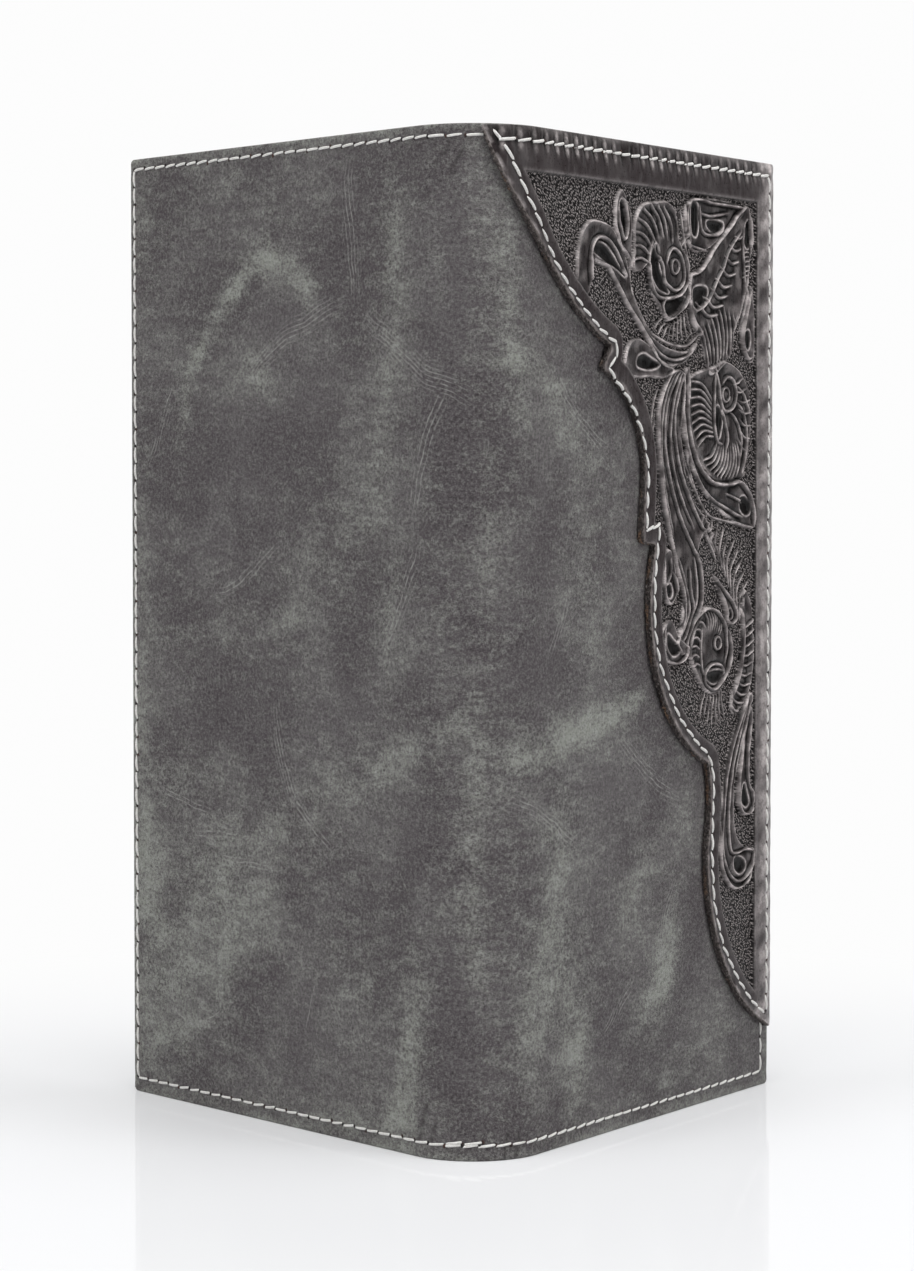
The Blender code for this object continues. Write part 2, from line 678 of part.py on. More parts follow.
def union(target, bm_tool, parent):
    """Joins one more closed shape to the target."""
    tool = add_object(f"{target.name}_tool", bm_tool, parent, target.data.materials[0])
    tool.hide_render = True
    tool.display_type = "WIRE"
    joint = target.modifiers.new("join", "BOOLEAN")
    joint.operation = "UNION"
    joint.solver = "EXACT"
    joint.object = tool


def shield(z_top, z_bottom):
    """Outline of a slider plate: wide at the top, narrow at the tail."""
    wide, narrow = SLIDER_WIDTH / 2, SLIDER_TAIL_WIDTH / 2
    shoulder = z_top - (z_top - z_bottom) / 3
    chamfer = (wide - narrow) / 2
    return [
        (-narrow, z_bottom),
        (narrow, z_bottom),
        (wide, shoulder),
        (wide, z_top - chamfer),
        (wide - chamfer, z_top),
        (-wide + chamfer, z_top),
        (-wide, z_top - chamfer),
        (-wide, shoulder),
    ]


def build_slider(parent, metal):
    """Slider in its own frame: x across, y depth from the chain's middle, z from its centre."""
    half = SLIDER_LENGTH / 2
    outline = shield(half, -half)

    def span_prism(loop, span):
        bm = bmesh.new()
        prism(bm, [(u, span[0] - ZIP_DEPTH, z) for u, z in loop], (0, span[1] - span[0], 0))
        return bm

    slider = add_object("zip_slider", span_prism(outline, SLIDER_TOP_SPAN), parent, metal)
    union(slider, span_prism(outline, SLIDER_UNDER_SPAN), parent)
    post = TEETH_SPACE / 2 - GAP
    into = SLIDER_PLATE / 2
    post_top = half - SLIDER_POST_LENGTH / 4
    post_low = post_top - SLIDER_POST_LENGTH
    post_loop = [(-post, post_low), (post, post_low), (post, post_top), (-post, post_top)]
    union(slider, span_prism(post_loop, (SLIDER_UNDER_SPAN[1] - into, SLIDER_TOP_SPAN[0] + into)),
          parent)

    base = SLIDER_TOP_SPAN[1] - ZIP_DEPTH
    reach = ARCH_HALF_SPAN
    room = 2 * PULL_CLEARANCE + PULL_THICKNESS
    outside = [
        (-reach - ARCH_BAR, base - into),
        (-reach - ARCH_BAR, base + room),
        (-reach, base + room + ARCH_BAR),
        (reach, base + room + ARCH_BAR),
        (reach + ARCH_BAR, base + room),
        (reach + ARCH_BAR, base - into),
    ]
    inside = [
        (reach, base - into),
        (reach, base + room - ARCH_BAR / 4),
        (reach - ARCH_BAR / 4, base + room),
        (-reach + ARCH_BAR / 4, base + room),
        (-reach, base + room - ARCH_BAR / 4),
        (-reach, base - into),
    ]
    bm = bmesh.new()
    prism(bm, [(-ARCH_WIDTH / 2, y, z) for z, y in outside + inside], (ARCH_WIDTH, 0, 0))
    union(slider, bm, parent)
    return slider


def build_pull(parent, metal):
    """Pull in the frame of its own pin: x across, y depth, hanging down along -z."""
    half = PULL_WIDTH / 2
    tip = PULL_TIP_WIDTH / 2
    eye = ARCH_WIDTH / 2 + PULL_CLEARANCE
    top = PULL_BAR / 2
    eye_top = -PULL_BAR / 2
    eye_low = eye_top - PULL_EYE_LENGTH
    corner = PULL_BAR
    near = -PULL_THICKNESS / 2

    def loop(points):
        return [(x, near, z) for x, z in points]

    low = -PULL_LENGTH
    outer = [
        (-half, top - corner / 3),
        (-tip, low + 2 * tip),
        (-tip, low + tip),
        (-tip / 2, low),
        (tip / 2, low),
        (tip, low + tip),
        (tip, low + 2 * tip),
        (half, top - corner / 3),
        (half - corner / 3, top),
        (-half + corner / 3, top),
    ]
    inner = [
        (-eye, eye_top - corner / 3),
        (-eye, eye_low + corner),
        (-eye, eye_low + corner / 2),
        (-eye / 2, eye_low),
        (eye / 2, eye_low),
        (eye, eye_low + corner / 2),
        (eye, eye_low + corner),
        (eye, eye_top - corner / 3),
        (eye - corner / 3, eye_top),
        (-eye + corner / 3, eye_top),
    ]
    bm = bmesh.new()
    pierced(bm, loop(outer), loop(inner), (0, PULL_THICKNESS, 0))
    pull = add_object("zip_pull", bm, parent, metal)
    bm = bmesh.new()
    centre = low + tip + PULL_TIP_HOLE / 2
    hole = [
        (PULL_TIP_HOLE * math.cos(math.tau * i / 12), -PULL_THICKNESS,
         centre + PULL_TIP_HOLE * math.sin(math.tau * i / 12))
        for i in range(12)
    ]
    prism(bm, hole, (0, 2 * PULL_THICKNESS, 0))
    cutter = add_object("zip_pull_cutter", bm, parent, metal)
    cutter.hide_render = True
    cutter.display_type = "WIRE"
    cut = pull.modifiers.new("tip hole", "BOOLEAN")
    cut.operation = "DIFFERENCE"
    cut.solver = "EXACT"
    cut.object = cutter
    return pull


def stand_on_origin(root):
    """Moves the wallet so that the middle of its box, at floor level, is the origin."""
    bpy.context.view_layer.update()
    graph = bpy.context.evaluated_depsgraph_get()
    points = []
    for obj in bpy.context.scene.collection.all_objects:
        if obj.type == "MESH" and not obj.hide_render:
            ready = obj.evaluated_get(graph)
            points += [ready.matrix_world @ vert.co for vert in ready.to_mesh().vertices]
            ready.to_mesh_clear()
    for axis in (0, 1):
        values = [point[axis] for point in points]
        root.location[axis] -= (min(values) + max(values)) / 2


def main():
    clear_scene()
    finishes = {
        "leather": finish("distressed grey leather", (0.105, 0.1, 0.103), 0.75),
        "overlay": finish("dark tooled leather", (0.026, 0.02, 0.02), 0.4),
        "inner": finish("charcoal inner leather", (0.045, 0.043, 0.044), 0.6),
        "fabric": finish("black lining fabric", (0.02, 0.02, 0.022), 0.9),
        "thread": finish("off-white thread", (0.78, 0.77, 0.73), 0.7),
        "metal": finish("nickel zip metal", (0.62, 0.61, 0.58), 0.3, metallic=1.0),
        "clear": finish("clear window sheet", (0.85, 0.86, 0.87), 0.12, alpha=0.3),
    }
    root = add_empty("wallet", (0, 0, 0))
    spine_back = add_empty("spine_back", (0, 0, 0), root)
    spine_fold = add_empty("spine_fold_axis", (0, -MID_RADIUS, 0), root)
    across, along = MID_RADIUS * math.cos(HALF_OPEN), -MID_RADIUS * math.sin(HALF_OPEN)
    front_fold = add_empty("front_fold_axis", (across, along + MID_RADIUS, 0), spine_fold, ARC_HALF)
    back_fold = add_empty("back_fold_axis", (-across, along, 0), root, -ARC_HALF)

    build_spine_half(BACK, arc_point, spine_back, finishes["leather"], finishes["fabric"],
                     finishes["thread"])
    build_spine_half(FRONT, from_apex, spine_fold, finishes["leather"], finishes["fabric"],
                     finishes["thread"])
    build_overlay_spine_end(spine_fold, finishes["overlay"], finishes["thread"])
    build_front(front_fold, finishes)
    build_back(back_fold, finishes)

    slider_z = HEIGHT - ZIP_WINDOW_MARGIN - SLIDER_LENGTH / 2 - GAP
    slider_at = flat_point(BACK, ZIP_CENTRE, ZIP_DEPTH, slider_z)
    slider_frame = add_empty("zip_slide_axis", slider_at, back_fold)
    build_slider(slider_frame, finishes["metal"])
    pin = SLIDER_TOP_SPAN[1] + PULL_CLEARANCE + PULL_THICKNESS / 2 - ZIP_DEPTH
    pull_frame = add_empty("zip_pull_axis", (0, pin, 0), slider_frame)
    build_pull(pull_frame, finishes["metal"])
    stand_on_origin(root)


main()
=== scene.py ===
"""Looks of the tall two-fold rodeo wallet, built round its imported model.

Lengths are in metres. A point of a cover or of the spine is given flat, as s and z: s runs along
the outer face of the leather from the apex of the spine, positive towards the front cover, and z
runs up. Depth runs inwards from that face. On a cover, u is s measured from its fold.
"""

import json
import math

import bmesh
import bpy
import numpy as np
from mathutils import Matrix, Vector
from mathutils.geometry import delaunay_2d_cdt


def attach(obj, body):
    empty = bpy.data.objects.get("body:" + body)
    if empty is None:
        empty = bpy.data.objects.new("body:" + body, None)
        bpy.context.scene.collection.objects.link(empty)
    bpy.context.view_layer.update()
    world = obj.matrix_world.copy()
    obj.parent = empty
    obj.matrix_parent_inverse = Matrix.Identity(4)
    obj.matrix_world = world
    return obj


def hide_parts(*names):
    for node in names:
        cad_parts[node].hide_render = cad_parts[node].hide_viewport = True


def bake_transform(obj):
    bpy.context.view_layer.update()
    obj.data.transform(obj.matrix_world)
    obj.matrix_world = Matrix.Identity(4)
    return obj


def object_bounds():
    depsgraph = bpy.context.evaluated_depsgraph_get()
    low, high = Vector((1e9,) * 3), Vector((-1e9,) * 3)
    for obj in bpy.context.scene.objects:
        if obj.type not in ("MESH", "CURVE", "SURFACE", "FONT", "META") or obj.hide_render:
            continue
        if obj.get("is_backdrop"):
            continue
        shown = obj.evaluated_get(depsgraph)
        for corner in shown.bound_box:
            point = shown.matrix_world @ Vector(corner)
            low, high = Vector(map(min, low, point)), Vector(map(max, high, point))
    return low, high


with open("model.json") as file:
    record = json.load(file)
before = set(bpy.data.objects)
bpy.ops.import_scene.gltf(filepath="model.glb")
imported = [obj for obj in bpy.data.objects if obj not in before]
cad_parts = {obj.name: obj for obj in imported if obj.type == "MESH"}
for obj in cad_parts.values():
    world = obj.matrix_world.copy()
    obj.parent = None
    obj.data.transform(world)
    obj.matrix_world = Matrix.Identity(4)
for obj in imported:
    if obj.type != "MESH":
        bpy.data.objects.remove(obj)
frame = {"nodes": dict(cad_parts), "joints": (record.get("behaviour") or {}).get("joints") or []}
CAD_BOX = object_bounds()
JOINTS = {joint["name"]: joint for joint in frame["joints"]}

MM = 0.001

# Covers and spine, as in the solid model
HEIGHT = 178.0 * MM
COVER_WIDTH = 84.0 * MM
HALF_OPEN = math.radians(37.3)
LEATHER = 1.8 * MM
CORNER_RADIUS = 0.9 * MM
HALF_ANGLE = math.pi / 2 - HALF_OPEN
APEX = Vector(JOINTS["spine_fold"]["pos_m"])
FRONT_FOLD = Vector(JOINTS["front_fold"]["pos_m"])
MID_RADIUS = (FRONT_FOLD.x - APEX.x) / math.cos(HALF_OPEN)
OUTER_RADIUS = MID_RADIUS + LEATHER / 2
CENTRE = Vector((APEX.x, APEX.y + MID_RADIUS, 0))
HALF_ARC = HALF_ANGLE * OUTER_RADIUS
FREE_EDGE = HALF_ARC + COVER_WIDTH
SEAM_OF_SKINS = HALF_ARC / 2
BLEND_REACH = 4.0 * MM

# Overlay
OVERLAY_THICKNESS = 1.4 * MM
OVERLAY_INSET = 0.2 * MM
OVERLAY_LIFT = 0.02 * MM
FIELD_TOP = 170.0 * MM
FIELD_RIGHT = 76.0 * MM
FIELD_INSET = 4.0 * MM
FIELD_MARGIN = 0.8 * MM
FIELD_SPACING = 0.43 * MM
BORDER_SPACING = 0.5 * MM

# Relief of the overlay, in mm. A skive is how wide and how deep an edge is pared down, and the
# line round an eye has a half width and a height.
GUIDE_GAP = 0.16
RIM_STEP = 0.18
LINE_SHARPNESS = 0.62
FIELD_SUNK = 0.6
LEAF_RISE = 0.62
LEAF_DISH = 0.4
HOLLOW_SUNK = 0.5
EYE_RISE = 0.3
TOP_SKIVE = (7.2, 0.95)
SIDE_SKIVE = (3.6, 0.8)
SIDE_GROOVE = 3.1
EYE_LINE = (0.3, 0.28)
STROKE_RISE = 0.27

# Scratches and creases
HAIR_GAP = 0.85 * MM
HAIR_WIDTH = 0.2 * MM
HAIR_STRAY = 3 * HAIR_GAP
CREASE_REACH = 3.0 * MM
DARK_CREASE = 0.15

# Stitches
STITCH_PITCH = 3.25 * MM
STITCH_LENGTH = 2.9 * MM
STITCH_THICKNESS = 0.48 * MM
STITCH_SLANT = 0.12 * MM
OVERLAY_STITCH_SLANT = 0.19 * MM
OVERLAY_STITCH_THICKNESS = 0.56 * MM
HOLE_RADIUS = 0.42 * MM
BACK_EDGE_SEAM = 1.3 * MM
TOP_SEAM = 2.0 * MM
BOTTOM_SEAM = 2.7 * MM
FRONT_EDGE_SEAM = 3.0 * MM
TOP_SEAM_START = 1.2 * MM
BACKSTITCH_GAP = 0.45 * MM
BACKSTITCH_END = 0.8 * MM
OVERLAY_TOP_SEAM = 2.7 * MM
OVERLAY_SEAM_START = 3.0 * MM
OVERLAY_SEAM_END = 14.6 * MM
FRONT_SEAM_END = 13.0 * MM

# Inside
LINING_INSET = 1.0 * MM
POCKET_FIRST = 25.0 * MM
SEWN_INSET = 1.2 * MM
COLUMN_GAP = 0.2 * MM
COLUMN_SEAM = 1.7 * MM
COLUMN_SEAM_INSET = 1.5 * MM
DRAWN_WIDTH = 7.0 * MM
PANEL_DRAW = {1: 0.25 * MM, -1: 2.5 * MM}
LAYER_SQUEEZE = 0.25 * MM
ZIP_HEM = 0.8 * MM
ZIP_CORNER = 0.8 * MM
WINDOW_HEM = 1.5 * MM
WINDOW_CORNER = 3.0 * MM
LAYER_SPACING = 0.9 * MM
HIDDEN_SPACING = 2.5 * MM
SHARP_EDGE = math.radians(50)
TOOTH_PITCH = 1.15 * MM
TOOTH_REACH = 0.35 * MM

# Metal parts of the zip: node, body and how far its edges are rounded
ZIP_METAL = (
    ("zip_top_stop", "back_cover", 0.12 * MM), ("zip_bottom_stop", "back_cover", 0.12 * MM),
    ("zip_slider", "zip_slider", 0.18 * MM), ("zip_pull", "zip_pull", 0.16 * MM),
)

# Table, room and backdrop
TABLE_BEHIND = 310.0 * MM
TABLE_REACH = 6.0
FLOOR_FADE = (85.0 * MM, 230.0 * MM)
FLOOR_GLOW = 0.18
ROOM_LIGHT = 0.26
ROOM_GLOSS = 0.06
BACKDROP_LIGHT = 0.98
BACKDROP_FADE = (0.3, 0.8)

# Lamps: name, place and size in metres, and power in watts
LAMPS = (
    ("overhead softbox", (0.05, -0.22, 0.95), (0.8, 0.6), 7.2),
    ("left softbox", (-0.9, -0.6, 0.35), (0.4, 0.7), 2.7),
    ("right softbox", (0.95, -0.45, 0.4), (0.4, 0.7), 2.7),
    ("rear softbox", (0.1, 0.95, 0.6), (0.9, 0.6), 1.6),
)

# Camera, fitted to the outline of the wallet in the photograph
PHOTO_HEIGHT = 1271
FOCAL_PIXELS = 3374.0
SENSOR = 36.0
CAMERA_DISTANCE = 589.6 * MM
CAMERA_HEIGHT = 118.3 * MM
CAMERA_AZIMUTH = math.radians(-3.92)
CAMERA_TURN = math.radians(0.28)
CAMERA_PITCH = math.radians(2.73)


# Flat drawing

def skin(s, z, depth):
    """Points of the wallet from their flat place."""
    s, z, depth = np.broadcast_arrays(*(np.asarray(v, float) for v in (s, z, depth)))
    side = np.where(s < 0, -1.0, 1.0)
    angle = np.minimum(abs(s), HALF_ARC) / OUTER_RADIUS
    straight = np.maximum(abs(s) - HALF_ARC, 0)
    radius = OUTER_RADIUS - depth
    x = CENTRE.x + side * (radius * np.sin(angle) + straight * np.cos(angle))
    y = CENTRE.y - radius * np.cos(angle) + straight * np.sin(angle)
    return np.stack([x, y, z], axis=-1)


def outward(s):
    """Unit normals of the outer face."""
    s = np.asarray(s, float)
    side = np.where(s < 0, -1.0, 1.0)
    angle = np.minimum(abs(s), HALF_ARC) / OUTER_RADIUS
    return np.stack([side * np.sin(angle), -np.cos(angle), np.zeros_like(angle)], axis=-1)


def front(u, z, depth):
    return skin(HALF_ARC + np.asarray(u, float), z, depth)


def back(u, z, depth):
    return skin(-HALF_ARC - np.asarray(u, float), z, depth)


def pairs(u, z):
    """The points of two lists of places."""
    return np.stack([np.ravel(u), np.ravel(z)], axis=1)


def smooth_step(value):
    t = np.clip(value, 0, 1)
    return t * t * (3 - 2 * t)


def bell(value, width):
    return np.exp(-((value / width) ** 2))


def spline(points, step, closed=False):
    """A smooth curve through the points, sampled about every step."""
    p = np.asarray(points, float)
    count = len(p)
    samples = []
    for i in range(count if closed else count - 1):
        if closed:
            a, b, c, d = (p[(i + k) % count] for k in (-1, 0, 1, 2))
        else:
            b, c = p[i], p[i + 1]
            a = p[i - 1] if i else 2 * b - c
            d = p[i + 2] if i + 2 < count else 2 * c - b
        pieces = max(2, math.ceil(np.linalg.norm(c - b) / step))
        t = np.arange(pieces)[:, None] / pieces
        samples.append(
            0.5 * (2 * b + (c - a) * t + (2 * a - 5 * b + 4 * c - d) * t**2
                   + (3 * b - a - 3 * c + d) * t**3)
        )
    if not closed:
        samples.append(p[-1:])
    return np.concatenate(samples)


def turns_left(loop):
    """Whether the closed loop runs anticlockwise."""
    after = np.roll(loop, -1, axis=0)
    return (loop[:, 0] * after[:, 1] - after[:, 0] * loop[:, 1]).sum() > 0


def resample(path, step, closed=False):
    """The same path with points about every step, corners kept only nearly."""
    p = np.asarray(path, float)
    if closed:
        p = np.vstack([p, p[:1]])
    lengths = np.r_[0, np.cumsum(np.linalg.norm(np.diff(p, axis=0), axis=1))]
    count = max(3 if closed else 1, round(lengths[-1] / step))
    at = np.linspace(0, lengths[-1], count + 1)
    even = np.stack([np.interp(at, lengths, p[:, k]) for k in (0, 1)], axis=1)
    return even[:-1] if closed else even


def subdivide(loop, step):
    """The closed loop with its own points kept and its long sides cut up."""
    points = []
    for a, b in zip(loop, np.roll(loop, -1, axis=0)):
        pieces = max(1, math.ceil(np.linalg.norm(b - a) / step))
        points += [a + (b - a) * i / pieces for i in range(pieces)]
    return np.array(points)


def blunted(loop, times):
    """The closed loop with its corners worn a little round."""
    for _ in range(times):
        loop = (np.roll(loop, 1, axis=0) + 2 * loop + np.roll(loop, -1, axis=0)) / 4
    return loop


def offset(path, distance, closed=True):
    """The path moved to its left, with its sharp corners blunted."""
    p = np.asarray(path, float)
    ahead = np.roll(p, -1, axis=0) - p
    behind = p - np.roll(p, 1, axis=0)
    if not closed:
        ahead[-1] = behind[-1]
        behind[0] = ahead[0]
    normals = []
    for d in (behind, ahead):
        d = d / np.maximum(np.linalg.norm(d, axis=1, keepdims=True), 1e-12)
        normals.append(pairs(-d[:, 1], d[:, 0]))
    middle = (normals[0] + normals[1]) / 2
    middle /= np.maximum((middle**2).sum(axis=1, keepdims=True), 0.75)
    return p + distance * middle


def distance_to(points, path, closed=False, chunk=4000):
    """Distance of each point from the path, and how far along the path its nearest place is."""
    a = np.asarray(path, float)
    b = np.roll(a, -1, axis=0) if closed else a[1:]
    a = a if closed else a[:-1]
    du, dz = (b - a).T
    square = np.maximum(du**2 + dz**2, 1e-18)
    lengths = np.sqrt(square)
    starts = np.cumsum(lengths) - lengths
    best, along = np.empty(len(points)), np.empty(len(points))
    for first in range(0, len(points), chunk):
        u = points[first : first + chunk, 0, None] - a[:, 0]
        z = points[first : first + chunk, 1, None] - a[:, 1]
        t = np.clip((u * du + z * dz) / square, 0, 1)
        u -= t * du
        z -= t * dz
        gap = u * u + z * z
        nearest = gap.argmin(axis=1)
        rows = np.arange(len(nearest))
        best[first : first + chunk] = np.sqrt(gap[rows, nearest])
        along[first : first + chunk] = starts[nearest] + t[rows, nearest] * lengths[nearest]
    return best, along


def near_path(points, path, reach):
    """Whether each point is within about the reach of the path's points."""
    step = 1 << 20
    cells = np.round(np.asarray(path) / reach).astype(np.int64)
    own = np.round(points / reach).astype(np.int64)
    around = [cells[:, 0] + i + (cells[:, 1] + j) * step for i in (-1, 0, 1) for j in (-1, 0, 1)]
    return np.isin(own[:, 0] + own[:, 1] * step, np.concatenate(around))


def inside(points, loop):
    """Whether each point lies in the closed loop."""
    x, z = points[:, 0], points[:, 1]
    result = np.zeros(len(points), bool)
    for (ax, az), (bx, bz) in zip(loop, np.roll(loop, -1, axis=0)):
        if az != bz:
            crosses = (az > z) != (bz > z)
            result ^= crosses & (x < ax + (z - az) * (bx - ax) / (bz - az))
    return result


def filling(loops, spacing):
    """Points on a triangular grid inside the first loop and outside the others."""
    edges = np.concatenate([np.stack([loop, np.roll(loop, -1, axis=0)], axis=1) for loop in loops])
    low, high = loops[0].min(axis=0), loops[0].max(axis=0)
    columns = np.arange(low[0], high[0], spacing)
    rows = []
    for number, z in enumerate(np.arange(low[1], high[1], spacing * math.sqrt(3) / 2)):
        crossing = edges[(edges[:, 0, 1] > z) != (edges[:, 1, 1] > z)]
        (au, az), (bu, bz) = crossing[:, 0].T, crossing[:, 1].T
        crossings = np.sort(au + (z - az) * (bu - au) / (bz - az))
        u = columns + spacing / 2 * (number % 2)
        u = u[np.searchsorted(crossings, u) % 2 == 1]
        rows.append(pairs(u, np.full(len(u), z)))
    return np.concatenate(rows)


def rounded_loop(low, high, radius, steps=4):
    """Anticlockwise rectangle with round corners."""
    corners = ((high[0], low[1], -90), (high[0], high[1], 0), (low[0], high[1], 90),
               (low[0], low[1], 180))
    inwards = ((-1, 1), (-1, -1), (1, -1), (1, 1))
    points = []
    for (u, z, start), (du, dz) in zip(corners, inwards):
        for step in range(steps + 1):
            turn = math.radians(start + 90 * step / steps)
            points.append((u + radius * (du + math.cos(turn)), z + radius * (dz + math.sin(turn))))
    return np.array(points)


def waves(x, z, size, seed, terms=7):
    """Gentle uneven waves between about -1 and 1."""
    rng = np.random.default_rng(seed)
    total = np.zeros(np.broadcast(x, z).shape)
    for _ in range(terms):
        heading, phase = rng.uniform(0, math.tau, 2)
        pace = math.tau / size * rng.uniform(0.5, 1.5)
        total += np.sin((x * math.cos(heading) + z * math.sin(heading)) * pace + phase)
    return total / math.sqrt(terms)


# Mesh making

def link(obj):
    bpy.context.scene.collection.objects.link(obj)
    return obj


def mesh_object(name, points, faces, flat, materials, face_materials, values):
    """A smooth closed mesh with its flat places as UVs and its point values as attributes."""
    mesh = bpy.data.meshes.new(name)
    mesh.from_pydata(np.asarray(points).tolist(), [], faces)
    for material in materials:
        mesh.materials.append(material)
    mesh.polygons.foreach_set("material_index", np.asarray(face_materials, np.int32))
    bm = bmesh.new()
    bm.from_mesh(mesh)
    bmesh.ops.recalc_face_normals(bm, faces=bm.faces)
    bm.to_mesh(mesh)
    bm.free()
    corners = np.empty(len(mesh.loops), np.int32)
    mesh.loops.foreach_get("vertex_index", corners)
    layer = mesh.uv_layers.new(name="flat")
    layer.uv.foreach_set("vector", np.asarray(flat, np.float32)[corners].ravel())
    for label, value in values.items():
        attribute = mesh.attributes.new(label, "FLOAT", "POINT")
        attribute.data.foreach_set("value", np.asarray(value, np.float32))
    mesh.shade_smooth()
    mesh.set_sharp_from_angle(angle=SHARP_EDGE)
    return link(bpy.data.objects.new(name, mesh))


def rim_profile(radius, thickness, steps, wall):
    """(Inset, share of the thickness) of each ring round a sheet's edge, from face to face."""
    arris = []
    for k in range(steps + 1):
        turn = math.pi / 2 * k / steps
        arris.append((radius * (1 - math.sin(turn)), radius * (1 - math.cos(turn)) / thickness))
    first = arris[-1][1]
    middle = [(0.0, first + (1 - 2 * first) * k / (wall + 1)) for k in range(1, wall + 1)]
    return arris + middle + [(inset, 1 - share) for inset, share in reversed(arris)]


def triangulate(name, edges, points):
    """Triangles that fill the first edge and leave the others open. Edge points come first."""
    rings = np.concatenate(edges)
    points = np.concatenate([rings, points])
    constraints, first = [], len(edges[0])
    for edge in edges[1:]:
        constraints += [(first + i, first + (i + 1) % len(edge)) for i in range(len(edge))]
        first += len(edge)
    result = delaunay_2d_cdt([Vector(p) for p in points.tolist()], constraints,
                             [list(range(len(edges[0])))], 1, 1e-9, False)
    if len(result[0]) != len(points):
        raise ValueError(f"{name}: the outline crosses itself")
    triangles = np.array(result[2])
    doubtful = np.flatnonzero((triangles < len(rings)).all(axis=1))
    middles = points[triangles[doubtful]].mean(axis=1)
    outside = ~inside(middles, edges[0])
    for edge in edges[1:]:
        outside |= inside(middles, edge)
    return points, np.delete(triangles, doubtful[outside], axis=0)


def sheet(name, loop, place, top, bottom, spacing, materials, holes=(), cuts=(),
          radius=0.25 * MM, rim=2, wall=0, frayed=0.0, raw=None, values=None, points=None):
    """A closed sheet cut to the loop, with rounded edges except where it is cut square.

    Top and bottom give the depths of its two faces. The last material takes its edges, and it
    frays there, or only where raw says so.
    """
    loops = [np.asarray(loop, float)] + [np.asarray(hole, float)[::-1] for hole in holes]

    def ring_at(inset):
        rings = []
        for line in loops:
            ring = offset(line, inset)
            low, high = line[:, 1].min() + inset, line[:, 1].max() - inset
            for cut in cuts:
                on_cut = abs(line[:, 0] - cut) < 1e-7
                ring[on_cut] = line[on_cut]
                ring[on_cut, 1] = np.clip(line[on_cut, 1], low, high)
            rings.append(ring)
        return rings

    edges = ring_at(radius)
    rims = np.concatenate([resample(edge, 0.4 * spacing, closed=True) for edge in edges])
    fine = filling(edges, spacing) if points is None else points(edges)
    rough = filling(edges, HIDDEN_SPACING)
    upper, upper_faces = triangulate(name, edges, fine[~near_path(fine, rims, 0.45 * spacing)])
    lower, lower_faces = triangulate(name, edges, rough[~near_path(rough, rims, 0.8 * spacing)])
    rings = sum(len(edge) for edge in edges)
    rough_edge = np.ones(rings, bool) if raw is None else raw(*np.concatenate(edges).T)
    top_depth = top(upper[:, 0], upper[:, 1])
    bottom_depth = bottom(lower[:, 0], lower[:, 1])
    thickness = bottom_depth[:rings] - top_depth[:rings]
    profile = rim_profile(radius, abs(float(thickness.mean())), rim, wall)

    flat, depths, starts, total = [upper], [top_depth], [0], len(upper)
    walk = np.arange(rings) * spacing
    for number, (inset, share) in enumerate(profile[1:-1], start=1):
        ring = np.concatenate(ring_at(inset))
        if frayed:
            outwards = np.concatenate(ring_at(0)) - np.concatenate(edges)
            wave = waves(walk, walk * 0, 1.1 * MM, 40 + number) * frayed / radius
            ring = ring + outwards * (wave * rough_edge)[:, None]
        flat.append(ring)
        depths.append(top_depth[:rings] + share * thickness)
        starts.append(total)
        total += rings
    flat.append(lower)
    depths.append(bottom_depth)
    starts.append(total)
    flat = np.concatenate(flat)
    faces = [tuple(t) for t in upper_faces.tolist()]
    faces += [(a + total, c + total, b + total) for a, b, c in lower_faces.tolist()]
    face_materials = [0] * len(faces)
    first = 0
    for edge in edges:
        size = len(edge)
        for here, below in zip(starts, starts[1:]):
            for i in range(size):
                j = (i + 1) % size
                faces.append((here + first + j, here + first + i, below + first + i,
                              below + first + j))
                face_materials.append(len(materials) - 1 if rough_edge[first + i] else 0)
        first += size
    attributes = {}
    for label, function in (values or {}).items():
        given = function(upper[:, 0], upper[:, 1])
        between = np.tile(given[:rings], len(profile) - 2)
        attributes[label] = np.concatenate([given, between, np.zeros(len(lower))])
    if wall:
        down = np.repeat([share for _, share in profile[1:-1]], rings)
        attributes["wall"] = np.concatenate([np.zeros(len(upper)), down, np.ones(len(lower))])
    return mesh_object(name, place(flat[:, 0], flat[:, 1], np.concatenate(depths)), faces, flat,
                       materials, face_materials, attributes)


# Nodes

class Nodes:
    """Short ways to add the nodes of a tree and join them."""

    def __init__(self, tree):
        self.tree = tree

    def put(self, node, label, value):
        """Sets a socket to a value or joins it to another socket."""
        socket = node.inputs[label]
        if isinstance(value, bpy.types.NodeSocket):
            self.tree.links.new(value, socket)
        else:
            socket.default_value = value

    def add(self, kind, inputs=None, **settings):
        node = self.tree.nodes.new(kind)
        for label, value in settings.items():
            setattr(node, label, value)
        for label, value in (inputs or {}).items():
            self.put(node, label, value)
        return node

    def math(self, operation, a, b=0.0, c=0.0):
        return self.add("ShaderNodeMath", {0: a, 1: b, 2: c}, operation=operation).outputs[0]

    def times(self, a, b):
        return self.math("MULTIPLY", a, b)


# Finishes

